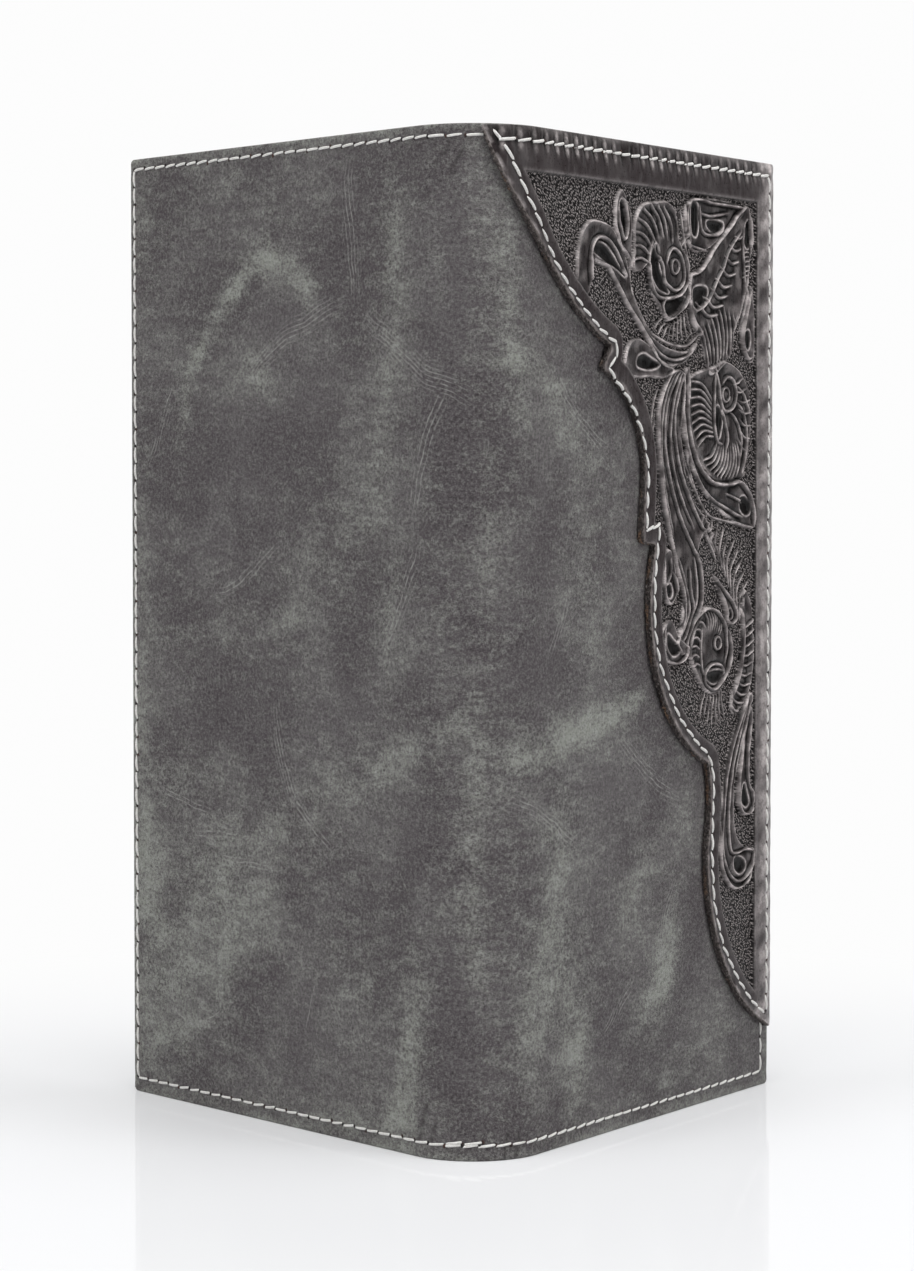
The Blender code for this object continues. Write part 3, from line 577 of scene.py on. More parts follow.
class Finish(Nodes):
    """A material and short ways to add to its nodes."""

    def __init__(self, name, colour, roughness, **sockets):
        self.material = bpy.data.materials.new(name)
        self.material.use_nodes = True
        super().__init__(self.material.node_tree)
        self.shader = self.tree.nodes["Principled BSDF"]
        self.put(self.shader, "Base Color", (*colour, 1))
        self.put(self.shader, "Roughness", roughness)
        for label, value in sockets.items():
            self.put(self.shader, label.replace("_", " "), value)
        self.material.diffuse_color = (*colour, 1)

    def flat(self):
        return self.add("ShaderNodeUVMap", uv_map="flat").outputs["UV"]

    def place(self):
        return self.add("ShaderNodeTexCoord").outputs["Object"]

    def value(self, name):
        return self.add("ShaderNodeAttribute", attribute_name=name).outputs["Fac"]

    def stretch(self, vector, scale, turn=0.0, move=(0, 0, 0)):
        return self.add("ShaderNodeMapping",
                        {"Vector": vector, "Scale": scale, "Rotation": (0, 0, turn),
                         "Location": move}).outputs["Vector"]

    def noise(self, vector, size, detail=4.0, rough=0.55, twist=0.0):
        """Soft noise whose features are about as wide as the size."""
        return self.add("ShaderNodeTexNoise",
                        {"Vector": vector, "Scale": 1 / size, "Detail": detail,
                         "Roughness": rough, "Distortion": twist}).outputs["Fac"]

    def cells(self, vector, size, **settings):
        return self.add("ShaderNodeTexVoronoi", {"Vector": vector, "Scale": 1 / size},
                        **settings).outputs["Distance"]

    def range(self, value, low, high, to_low=0.0, to_high=1.0):
        return self.add("ShaderNodeMapRange",
                        {"Value": value, "From Min": low, "From Max": high, "To Min": to_low,
                         "To Max": to_high}, interpolation_type="SMOOTHSTEP").outputs["Result"]

    def mix(self, factor, a, b):
        """One colour going over to another, each a socket or three numbers."""
        a, b = (c if isinstance(c, bpy.types.NodeSocket) else (*c, 1) for c in (a, b))
        return self.add("ShaderNodeMix", {0: factor, 6: a, 7: b}, data_type="RGBA").outputs[2]

    def colour(self, value):
        self.put(self.shader, "Base Color", value)

    def bump(self, *layers):
        """Layers of (height, depth in metres), the coarsest first."""
        normal = None
        for height, depth in layers:
            node = self.add("ShaderNodeBump", {"Height": height, "Distance": depth})
            if normal is not None:
                self.put(node, "Normal", normal)
            normal = node.outputs["Normal"]
        self.put(self.shader, "Normal", normal)


def hairlines(made, at, stray, s, z, turn, length, bend, lines):
    """A few hair-thin scratches side by side, curved by the bend. Lengths are in mm."""
    c, n = math.cos(math.radians(turn)), math.sin(math.radians(turn))
    middle = (-(s * c + z * n) * MM, -(z * c - s * n) * MM, 0)
    turned = made.stretch(at, (1, 1, 1), -math.radians(turn), middle)
    local = made.add("ShaderNodeSeparateXYZ", {0: turned}).outputs
    bow = made.times(made.times(local["X"], local["X"]), bend / MM)
    across = made.math("SUBTRACT", local["Y"], bow)
    row = made.math("DIVIDE", made.math("ADD", across, stray), HAIR_GAP)
    line = made.range(made.math("PINGPONG", row, 0.5), 0.5 - HAIR_WIDTH / HAIR_GAP, 0.5)
    width = made.range(made.math("ABSOLUTE", across), lines * HAIR_GAP, 0.3 * HAIR_GAP)
    half = length * MM / 2
    return made.times(made.times(line, width),
                      made.range(made.math("ABSOLUTE", local["X"]), half, 0.5 * half))


def grey_leather():
    """Matte pull-up leather: purple grey with pale greenish rubs, grains, fibres and scratches, and
    painted shade in the deeper creases.
    """
    made = Finish("distressed_grey_leather", (0.09, 0.083, 0.088), 0.6, Specular_IOR_Level=0.3)
    at = made.flat()
    paleness = made.value("paleness")
    clouds = made.noise(at, 22 * MM, 2, 0.5, 0.5)
    drift = made.noise(made.stretch(at, (0.4, 1, 1), 0.12), 2.6 * MM, 6, 0.7)
    grains = made.noise(at, 1.5 * MM, 9, 0.8, 0.3)
    speckle = made.noise(at, 0.62 * MM, 4, 0.85)
    fibre = made.noise(made.stretch(at, (1, 4.5, 1), 0.9), 0.7 * MM, 4, 0.7)
    strands = made.noise(made.stretch(at, (5.0, 1, 1), 0.25), 0.8 * MM, 4, 0.7)
    base = made.mix(made.range(clouds, 0.38, 0.62), (0.061, 0.050, 0.055), (0.094, 0.083, 0.087))
    stipple = made.range(speckle, 0.32, 0.68)
    base = made.mix(made.range(speckle, 0.47, 0.63, 0.0, 0.78), base, (0.178, 0.166, 0.167))
    base = made.mix(made.range(speckle, 0.46, 0.32, 0.0, 0.9), base, (0.018, 0.013, 0.015))
    soft = made.math("MULTIPLY_ADD", paleness, 0.78, made.math("MULTIPLY_ADD", clouds, 0.8, -0.3))
    soft = made.math("ADD", soft, made.range(grains, 0.3, 0.7, -0.32, 0.36))
    soft = made.math("ADD", soft, made.range(drift, 0.3, 0.7, -0.24, 0.26))
    soft = made.math("MINIMUM", made.math("MAXIMUM", soft, 0.0), 0.95)
    dots = made.range(made.math("MULTIPLY_ADD", soft, 0.2, speckle), 0.5, 0.72)
    dots = made.math("MULTIPLY_ADD", dots, 0.6, made.times(stipple, 0.45))
    etched = made.times(soft, made.math("ADD", dots, 0.12))
    worn = made.mix(made.math("MINIMUM", etched, 1.0), base, (0.300, 0.312, 0.276))
    hairy = made.range(made.math("MAXIMUM", fibre, strands), 0.56, 0.76, 0.0, 0.6)
    worn = made.mix(hairy, worn, (0.21, 0.212, 0.2))
    curls = 0.0
    for size, move in ((1.9 * MM, 0.0), (1.1 * MM, 0.2), (3.4 * MM, 0.5)):
        ridged = made.noise(made.stretch(at, (1, 1, 1), move, (move, move, 0)), size, 5, 0.62, 0.3)
        thin = made.range(made.math("ABSOLUTE", made.math("SUBTRACT", ridged, 0.5)), 0.014, 0.0)
        curls = made.math("MAXIMUM", curls, thin)
    frayed = made.times(curls, made.math("MULTIPLY_ADD", soft, 0.68, 0.2))
    worn = made.mix(frayed, worn, (0.40, 0.405, 0.385))
    reddish = made.noise(made.stretch(at, (1, 1, 1), 0.0, (0.3, 0.1, 0)), 1.3 * MM, 5, 0.8)
    worn = made.mix(made.range(reddish, 0.62, 0.75, 0.0, 0.35), worn, (0.15, 0.095, 0.09))
    swirl = made.add("ShaderNodeTexNoise", {"Vector": at, "Scale": 1 / (30 * MM)}).outputs["Color"]
    bent = made.add("ShaderNodeVectorMath", {0: at, 1: swirl}).outputs[0]
    wide = made.cells(bent, 17 * MM, feature="DISTANCE_TO_EDGE")
    scratches = made.times(made.range(wide, 0.007, 0.0),
                           made.range(made.noise(at, 9 * MM, 2), 0.55, 0.66, 0.0, 0.6))
    wander = made.noise(at, 15 * MM, 3, 0.4)
    stray = made.math("MULTIPLY_ADD", wander, 2 * HAIR_STRAY, -HAIR_STRAY)
    for row in HAIRS:
        scratches = made.math("MAXIMUM", scratches, hairlines(made, at, stray, *row))
    broken = made.range(made.noise(at, 1.6 * MM, 4, 0.7), 0.38, 0.6, 0.1, 0.85)
    worn = made.mix(made.times(scratches, broken), worn, (0.36, 0.36, 0.34))
    # Painted shade in the deeper creases at the spine's ends.
    made.colour(made.mix(made.value("dark"), worn, (0.02, 0.016, 0.016)))
    made.put(made.shader, "Roughness", made.range(grains, 0.35, 0.65, 0.54, 0.68))
    made.bump((clouds, 0.08 * MM), (grains, 0.12 * MM), (speckle, 0.05 * MM), (fibre, 0.03 * MM))
    return made.material


def tooled_leather():
    """Semi-gloss dark leather. Its ridges are pale, partly rubbed and partly painted highlight, its
    seeds have painted highlights, and painted shade darkens the lower relief and the cuts most.
    """
    made = Finish("tooled_dark_leather", (0.03, 0.026, 0.026), 0.34, Specular_IOR_Level=0.18)
    at = made.flat()
    height = made.value("height")
    paleness = made.value("paleness")
    ground = made.value("ground")
    patch = made.noise(at, 7 * MM, 4, 0.6)
    fine = made.noise(at, 0.5 * MM, 5, 0.7)
    streaks = made.noise(made.stretch(at, (1.0, 0.12, 1)), 0.5 * MM, 4, 0.7)
    turned = made.stretch(at, (1, 1, 1), 0.6)
    seeds = made.cells(made.stretch(turned, (0.8, 1.35, 1)), 0.52 * MM, voronoi_dimensions="2D")
    # Painted shade: the lower the relief, the darker the colour.
    low = made.mix(made.range(height, 0.05, 0.95), (0.004, 0.003, 0.003), (0.037, 0.029, 0.03))
    low = made.mix(made.range(patch, 0.42, 0.66, 0.0, 0.5), low, (0.085, 0.075, 0.075))
    # Pale streaks, partly tone and partly a painted sheen.
    low = made.mix(made.range(streaks, 0.5, 0.68, 0.0, 0.45), low, (0.13, 0.115, 0.114))
    low = made.mix(ground, low, (0.008, 0.0065, 0.0065))
    # Painted shade in the cuts, the grooves beside the lines, the hollows and the stitch holes.
    low = made.mix(made.value("cut"), low, (0.0015, 0.001, 0.001))
    # Pale ridges, partly rubbed finish and partly painted highlight.
    broken = made.range(made.noise(at, 2.6 * MM, 3, 0.6), 0.36, 0.6, 0.5, 1.2)
    pale = made.times(paleness, made.times(broken, made.range(fine, 0.3, 0.6, 0.6, 1.0)))
    ridge = made.mix(made.math("MINIMUM", pale, 1.0), low, (0.73, 0.665, 0.655))
    # Painted highlights on the tops of the seeds in the matted ground.
    seed_highlights = made.times(made.range(seeds, 0.46, 0.14), ground)
    seed_highlights = made.times(seed_highlights, made.range(fine, 0.36, 0.56, 0.15, 1.0))
    made.colour(made.mix(seed_highlights, ridge, (0.6, 0.54, 0.53)))
    made.put(made.shader, "Roughness", made.range(fine, 0.3, 0.7, 0.24, 0.42))
    seeds_height = made.times(made.range(seeds, 0.6, 0.0), ground)
    made.bump((seeds_height, 0.35 * MM), (patch, 0.05 * MM), (streaks, 0.02 * MM), (fine, 0.02 * MM))
    return made.material


def raw_edge():
    """The overlay's cut edge: rough and dark, with a tan layer showing in places."""
    made = Finish("raw_leather_edge", (0.04, 0.03, 0.028), 0.55)
    at = made.place()
    down = made.value("wall")
    strands = made.noise(at, 0.55 * MM, 6, 0.8, 0.4)
    patch = made.noise(at, 7 * MM, 3)
    fibres = made.noise(made.stretch(at, (1, 1, 0.35)), 0.3 * MM, 4, 0.75)
    shade = made.mix(made.range(strands, 0.35, 0.66), (0.02, 0.015, 0.014), (0.13, 0.105, 0.098))
    shade = made.mix(made.range(fibres, 0.54, 0.68, 0.0, 0.9), shade, (0.36, 0.33, 0.31))
    shade = made.mix(made.range(down, 0.15, 0.0), shade, (0.2, 0.17, 0.16))
    layer = made.times(made.range(down, 0.3, 0.5), made.range(down, 0.95, 0.75))
    tan = made.times(made.range(patch, 0.54, 0.66, 0.0, 0.8), made.range(strands, 0.4, 0.58))
    made.colour(made.mix(made.times(tan, layer), shade, (0.34, 0.2, 0.115)))
    made.bump((strands, 0.4 * MM))
    return made.material


def plain_leather(name, colour, pale, roughness=0.45):
    """Smooth pocket leather with a fine grain."""
    made = Finish(name, colour, roughness)
    at = made.flat()
    patch = made.noise(at, 16 * MM, 5, 0.6)
    grain = made.cells(at, 0.55 * MM)
    fine = made.noise(at, 0.8 * MM, 5, 0.7)
    shade = made.mix(made.range(patch, 0.35, 0.7), colour, pale)
    shade = made.mix(made.times(made.value("paleness"), 0.6), shade, tuple(3.2 * c for c in pale))
    made.colour(made.mix(made.range(fine, 0.3, 0.5, 0.35, 0.0), shade,
                         tuple(0.5 * c for c in colour)))
    made.put(made.shader, "Roughness", made.range(patch, 0.3, 0.7, roughness, roughness - 0.08))
    made.bump((patch, 0.12 * MM), (made.range(grain, 0.0, 0.5), 0.05 * MM), (fine, 0.02 * MM))
    return made.material


def twill(name, colour, pale, size=0.42 * MM):
    """Woven lining with diagonal ribs."""
    made = Finish(name, colour, 0.85, Sheen_Weight=0.25, Sheen_Roughness=0.5)
    at = made.flat()

    def bands(turn, **more):
        turned = made.stretch(at, (1, 1, 1), math.radians(turn))
        return made.add("ShaderNodeTexWave", {"Vector": turned, "Scale": 0.31 / size, **more},
                        wave_type="BANDS").outputs["Fac"]

    fuzz = made.noise(at, 0.3 * MM, 3)
    weave = made.math("MULTIPLY_ADD", bands(90, Distortion=0.4), 0.35,
                      bands(52, Distortion=0.6, Detail=2.0))
    made.colour(made.mix(made.range(weave, 0.2, 1.1), colour, pale))
    made.bump((weave, 0.12 * MM), (fuzz, 0.03 * MM))
    return made.material


def waxed_thread():
    made = Finish("waxed_thread", (0.8, 0.79, 0.75), 0.55)
    at = made.place()
    strands = made.noise(at, 0.25 * MM, 3, 0.6)
    dust = made.noise(at, 2.2 * MM, 4, 0.6)
    shade = made.mix(made.range(strands, 0.3, 0.7), (0.76, 0.74, 0.7), (0.95, 0.94, 0.92))
    made.colour(made.mix(made.range(dust, 0.58, 0.82, 0.0, 0.4), shade, (0.42, 0.38, 0.34)))
    made.bump((strands, 0.12 * MM))
    return made.material


# Painted shade of the needle holes: dark, reddish in places, on the flattened pieces at the stitches'
# ends.
def needle_hole():
    made = Finish("needle_hole", (0.02, 0.013, 0.012), 0.8)
    reddish = made.noise(made.place(), 1.5 * MM, 2)
    made.colour(made.mix(made.range(reddish, 0.4, 0.7), (0.012, 0.009, 0.009), (0.06, 0.028, 0.022)))
    return made.material


def nickel():
    made = Finish("nickel_plate", (0.6, 0.585, 0.56), 0.26, Metallic=1.0)
    at = made.place()
    cloud = made.noise(at, 3 * MM, 4)
    lines = made.noise(made.stretch(at, (1, 1, 0.1)), 0.25 * MM, 3)
    made.put(made.shader, "Roughness", made.range(cloud, 0.3, 0.7, 0.2, 0.36))
    made.colour(made.mix(made.range(cloud, 0.4, 0.7, 0.0, 0.4), (0.62, 0.605, 0.58),
                         (0.5, 0.48, 0.45)))
    made.bump((lines, 0.01 * MM))
    return made.material


def clear_sheet():
    made = Finish("clear_sheet", (0.85, 0.87, 0.88), 0.12, Alpha=0.28, IOR=1.5)
    haze = made.noise(made.place(), 9 * MM, 3)
    made.put(made.shader, "Roughness", made.range(haze, 0.3, 0.7, 0.08, 0.2))
    made.bump((haze, 0.3 * MM))
    return made.material


def pale_floor():
    """Matte white table top with a faint clear reflection, as bright as the backdrop far off."""
    made = Finish("pale_floor", (0.75, 0.755, 0.77), 0.9, Specular_IOR_Level=0.0, Coat_Weight=0.35,
                  Coat_Roughness=0.03, Emission_Color=(1, 1, 1, 1))
    cloud = made.noise(made.place(), 0.2, 2)
    made.put(made.shader, "Roughness", made.range(cloud, 0.3, 0.7, 0.85, 0.95))
    away = made.add("ShaderNodeVectorMath", {0: made.place()}, operation="LENGTH").outputs["Value"]
    seen = made.add("ShaderNodeLightPath").outputs["Is Camera Ray"]
    made.put(made.shader, "Emission Strength", made.times(seen, FLOOR_GLOW))
    share = made.times(made.range(away, *FLOOR_FADE), seen)
    glow = made.add("ShaderNodeEmission", {"Strength": BACKDROP_LIGHT})
    both = made.add("ShaderNodeMixShader",
                    {0: share, 1: made.shader.outputs[0], 2: glow.outputs[0]})
    made.put(made.tree.nodes["Material Output"], "Surface", both.outputs[0])
    return made.material


# Outer leather

# Pale rubs on the leather: s, z, half length, half width in mm, turn in degrees, strength
RUBS = (
    (-44, 152.5, 5, 2.4, -38, 0.9), (-53, 156.5, 7, 2.6, -4, 1.0), (-64, 151.5, 7, 2.6, 38, 1.0),
    (-73, 143, 7, 2.4, 48, 0.85), (-79.5, 130, 11, 2.6, 82, 0.5), (-60, 138.5, 7, 1.8, 40, 0.5),
    (-55, 134.5, 6, 3, -32, 0.75), (-92, 164, 13, 3.5, 84, 0.4), (-79, 168, 9, 3, 62, 0.3),
    (-67, 172, 6, 3, 20, 0.3), (-54, 164, 6, 2.5, 85, 0.25), (-18, 156, 17, 3.2, 91, 0.6),
    (-20, 134, 12, 3, 84, 0.35), (-24, 117, 10, 4, 75, 0.3), (5.5, 147, 19, 2.8, 95, 0.6),
    (1.5, 112, 20, 2, 88, 0.3), (14, 135, 9, 2.6, -25, 0.5), (25, 125, 9, 3.5, -38, 0.5),
    (27, 104, 16, 8, 84, 0.3), (31, 90, 8, 6, 60, 0.25), (26, 73.5, 20, 3.4, 8, 1.0),
    (10, 69, 8, 2.6, 12, 0.5), (42, 77, 8, 2.2, 10, 0.5), (-30, 64, 13, 3.6, 14, 0.55),
    (-16, 69.5, 9, 3, 22, 0.55), (-2, 76, 6, 2.5, 30, 0.4), (-1, 52, 24, 2.4, 90, 0.5),
    (18, 44, 20, 6.5, 82, 0.75), (25, 20, 16, 5.5, 92, 0.85), (12, 22, 14, 5, 88, 0.55),
    (57, 29, 10, 4.2, 70, 0.85), (50, 20, 8, 4, 30, 0.6), (46, 44, 12, 6, 60, 0.45),
    (-13.5, 19, 15, 3.4, 84, 0.85), (-30, 3.5, 15, 2.4, 4, 0.5), (-18, 6, 6, 3, 60, 0.4),
    (-48, 92, 5, 2.2, 22, 0.55), (-72, 89, 18, 3, 6, 0.3), (-93, 75, 45, 3, 90, 0.45),
    (-76, 25, 18, 13, 20, 0.62), (-66, 41, 15, 8, -15, 0.5), (-90, 40, 15, 7, 80, 0.6),
    (-88, 10, 8, 7, 60, 0.5), (-33, 29, 14, 9, 10, 0.45), (-55, 52, 20, 7, 8, 0.45),
    (-80, 62, 14, 4, 10, 0.5), (-38, 106, 18, 9, 40, 0.35), (-20, 92, 12, 4, 78, 0.4),
    (64, 60, 18, 3, 75, 0.25), (76, 14, 7, 5, 30, 0.35), (60, 8, 14, 4, 4, 0.3),
)

# Dark pressed places, in the same terms
DARKS = (
    (-58, 124, 20, 8, 12, 0.5), (-52, 146, 8, 3.5, 14, 0.6), (-42, 133, 9, 6, 30, 0.4),
    (-42, 22, 14, 8, 60, 0.45), (-3.5, 22, 9, 3.5, 92, 0.9), (-12, 55, 8, 4, 88, 0.55),
    (14, 106, 10, 3.5, 85, 0.4), (12, 84, 9, 5, 10, 0.5), (36, 14, 8, 5, 60, 0.35),
    (-33, 78, 12, 6, 20, 0.35), (-64, 74, 14, 5, 12, 0.4), (-4, 155, 16, 2, 92, 0.5),
    (-10, 150, 14, 2.5, 92, 0.35), (40, 62, 14, 4, -12, 0.4), (38, 50, 8, 3, 20, 0.3),
    (12, 154, 10, 4, 80, 0.35), (-60, 108, 22, 5, 8, 0.25), (-5, 128, 14, 2, 90, 0.3),
    (70, 34, 12, 3, 80, 0.35), (-30, 166, 10, 4, 88, 0.3),
)

# Creases of the leather: s and z of both ends in mm, half width and depth in mm
CREASES = (
    (-11.5, 3.0, -9.6, 9.5, 0.35, 0.3), (7.0, 0.0, 7.6, 4.2, 0.35, 0.3),
    (-7.5, 171.0, -4.0, 176.5, 0.3, 0.2), (-5.5, 168.0, -2.4, 174.0, 0.25, 0.18),
    (-2.2, 162.0, -1.0, 172.0, 0.25, 0.15), (-9.0, 2.0, -8.0, 6.0, 0.25, 0.2),
    (4.5, 0.5, 5.6, 5.0, 0.3, 0.18), (-6.8, 120.0, -5.6, 150.0, 0.3, 0.1),
    (-4.6, 60.0, -3.4, 112.0, 0.3, 0.1), (-8.2, 80.0, -7.0, 104.0, 0.3, 0.09),
    (-2.0, 12.0, -2.8, 50.0, 0.3, 0.1), (2.2, 100.0, 1.2, 140.0, 0.3, 0.08),
)

# Bundles of hair-thin scratches: s and z in mm, turn in degrees, length, bend and number of lines
HAIRS = (
    (-47, 143.5, 25, 36, -0.006, 4), (-30, 161, -84, 28, 0.005, 3),
    (-14, 138, -32, 34, 0.004, 4), (-10.5, 122, -108, 28, 0.006, 3),
    (-49, 65, -66, 28, 0.02, 3), (-42, 56, -38, 18, 0.006, 2), (-41.5, 24, 74, 14, -0.008, 0.6),
    (-76, 15.5, 5, 20, 0.045, 0.6), (-79, 57, -12, 18, 0.004, 1.5), (-70, 52, 8, 16, -0.005, 2),
    (-61, 47, -3, 22, 0.003, 1.5), (-84, 22, 100, 15, -0.04, 1), (26, 128, -36, 26, 0.008, 3),
    (16, 58, -26, 26, -0.006, 3), (50, 64, -32, 30, 0.004, 3), (-60, 100, 28, 28, 0.006, 2),
    (-16, 96, 62, 26, 0.01, 3), (20, 92, 58, 16, 0.02, 2), (-86, 128, 64, 20, 0.012, 2),
    (56, 36, 66, 20, -0.01, 3), (40, 22, 40, 18, 0.012, 2),
)


def patches(table, s, z):
    """Soft elliptical patches from a table, strongest in their middles."""
    total = np.zeros(np.broadcast(s, z).shape)
    for ps, pz, length, width, turn, strength in table:
        c, n = math.cos(math.radians(turn)), math.sin(math.radians(turn))
        ds, dz = s / MM - ps, z / MM - pz
        along, across = ds * c + dz * n, dz * c - ds * n
        total += strength * np.exp(-((along / length) ** 2) ** 1.3 - ((across / width) ** 2))
    return total


def leather_rub(s, z):
    """How pale the leather is rubbed, from -1 to 1."""
    pale = patches(RUBS, s, z) - 0.9 * patches(DARKS, s, z)
    edge = np.minimum(z, HEIGHT - z)
    side = FREE_EDGE - abs(s)
    worn = 0.5 * bell(np.minimum(edge, side), 1.2 * MM)
    return np.clip(pale * (0.85 + 0.22 * waves(s, z, 9 * MM, 5)) + worn, -0.6, 1.3)


def seam_pull(along, across):
    """How a row of stitches draws the surface in."""
    pull = 0.11 * MM * bell(across, 0.9 * MM)
    return pull * (0.75 + 0.25 * np.cos(math.tau * along / STITCH_PITCH))


def creases_near(s, z):
    """For each crease with points near: which they are, its profile, the share along it, its cut."""
    points = pairs(s, z)
    for s0, z0, s1, z1, width, cut in CREASES:
        line = np.array([(s0, z0), (s1, z1)]) * MM
        reach = abs(line[1] - line[0]) / 2 + CREASE_REACH
        near = (abs(points - line.mean(axis=0)) < reach).all(axis=1)
        if near.any():
            gap, along = distance_to(points[near], line)
            yield near, bell(gap, width * MM), along / math.dist(*line), cut


def crease_shade(s, z):
    """Painted shade in the deeper creases at the ends of the spine."""
    dark = np.zeros(np.shape(s))
    for near, share, _, cut in creases_near(s, z):
        if cut > DARK_CREASE:
            dark[near] += 0.6 * share
    return np.clip(dark, 0, 0.8)


def leather_depth(s, z):
    """Depth of the leather's outer face with its seams, creases and slight waves."""
    depth = 0.07 * MM * waves(s, z, 45 * MM, 3) + 0.03 * MM * waves(s, z, 11 * MM, 4)
    outline = np.minimum(np.minimum(z, HEIGHT - z), FREE_EDGE - abs(s))
    depth = depth * smooth_step(outline / (6 * MM)) + 0.02 * MM
    depth += seam_pull(s, z - BOTTOM_SEAM)
    depth += np.where(s < SEAM_OF_SKINS, seam_pull(s, HEIGHT - TOP_SEAM - z), 0)
    depth += np.where(s < 0, seam_pull(z, FREE_EDGE - BACK_EDGE_SEAM + s), 0)
    for near, share, along, cut in creases_near(s, z):
        depth[near] += cut * MM * share * np.sqrt(np.clip(1 - (2 * along - 1) ** 2, 0, 1))
    return depth


def skin_loop(s0, s1, inset, step):
    """Outline of one stretch of a layer, round only at the corners of a free edge."""
    loop = rounded_loop((s0, inset), (s1, HEIGHT - inset), CORNER_RADIUS, 5)
    middle = (s0 + s1) / 2
    if s0 > -HALF_ARC:
        loop = [p for p in loop if p[0] > middle] + [(s0, HEIGHT - inset), (s0, inset)]
    if s1 < HALF_ARC:
        loop = [(s1, inset), (s1, HEIGHT - inset)] + [p for p in loop if p[0] < middle]
    return subdivide(np.array(loop), step)


def bend_over_fold(piece, number):
    """Bakes a piece's placement into its mesh. The stretch round the first, second or third fold,
    counted 0, 1 and 2 from the back, is worked out but nothing is blended over it.
    """
    fold = (number - 1) * HALF_ARC
    start, end = (skin(fold + reach, 0, LEATHER / 2).tolist() for reach in (-BLEND_REACH, BLEND_REACH))
    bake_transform(piece)
    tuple(start)
    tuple(end)


def wrap(slot, nodes, inset, top, bottom, spacing, finish, **more):
    """A layer round the whole wallet, in three stretches with the nodes that each replaces."""
    edge = FREE_EDGE - inset
    ends = (-edge, -SEAM_OF_SKINS, SEAM_OF_SKINS, edge)
    pieces = []
    for word, s0, s1 in zip(("back", "spine", "front"), ends, ends[1:]):
        cuts = [s for s in (s0, s1) if abs(s) < HALF_ARC]
        loop = skin_loop(s0, s1, inset, spacing)
        pieces.append(sheet(f"{slot}_{word}", loop, skin, top, bottom, spacing, [finish],
                            cuts=cuts, **more))
    for number, piece in enumerate(pieces):
        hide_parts(*nodes[number])
        bend_over_fold(piece, number)


def build_leather(finish):
    nodes = (("back_cover_leather",), ("spine_leather_back", "spine_leather_front"),
             ("front_cover_leather",))
    wrap("outer_leather", nodes, 0, leather_depth, lambda s, z: s * 0 + LEATHER, 0.7 * MM, finish,
         radius=0.35 * MM, rim=3, values={"paleness": leather_rub, "dark": crease_shade})


# Overlay outline, as u and z in mm

SCALLOP_TOP = ((-12.0, 178.0), (-1.5, 158.9), (22.6, 141.1))
FIRST_TIP = (19.7, 137.0)
SCALLOP_UPPER = (FIRST_TIP, (31.4, 128.6), (34.6, 118.5))
SECOND_TIP = (33.6, 106.0)
STEP_CORNER = (38.2, 105.6)
SCALLOP_MIDDLE = (STEP_CORNER, (38.6, 83.0), (57.9, 64.3))
SCALLOP_NECK = ((57.9, 64.3), (58.9, 58.0), (57.8, 49.0))
SCALLOP_LOWER = ((57.8, 49.0), (62.6, 28.6), (84.0, 11.0))

# The stitch line along the cut edge, which steps round both tips, and where it turns sharply
SEAM_TURNS = (9, 10, 11, 16, 17, 18)
EDGE_SEAM = (
    (-9.9, 177.0), (-8.0, 174.4), (-5.9, 170.1), (-4.1, 166.3), (-0.6, 160.6), (3.3, 155.4),
    (8.0, 151.1), (14.8, 146.4), (19.7, 143.5), (24.2, 141.6), (24.3, 139.2), (21.6, 137.4),
    (23.7, 135.4), (28.8, 132.0), (32.0, 128.1), (34.2, 124.5), (35.6, 119.1), (34.9, 108.3),
    (39.9, 109.2), (39.0, 105.2), (37.8, 99.1), (37.9, 90.6), (40.1, 83.1), (46.4, 74.2),
    (53.0, 68.8), (58.6, 65.6), (60.1, 62.0), (59.6, 52.5), (59.3, 45.8), (60.5, 36.9),
    (64.0, 29.2), (69.3, 22.6), (75.1, 17.4), (80.4, 14.2),
)

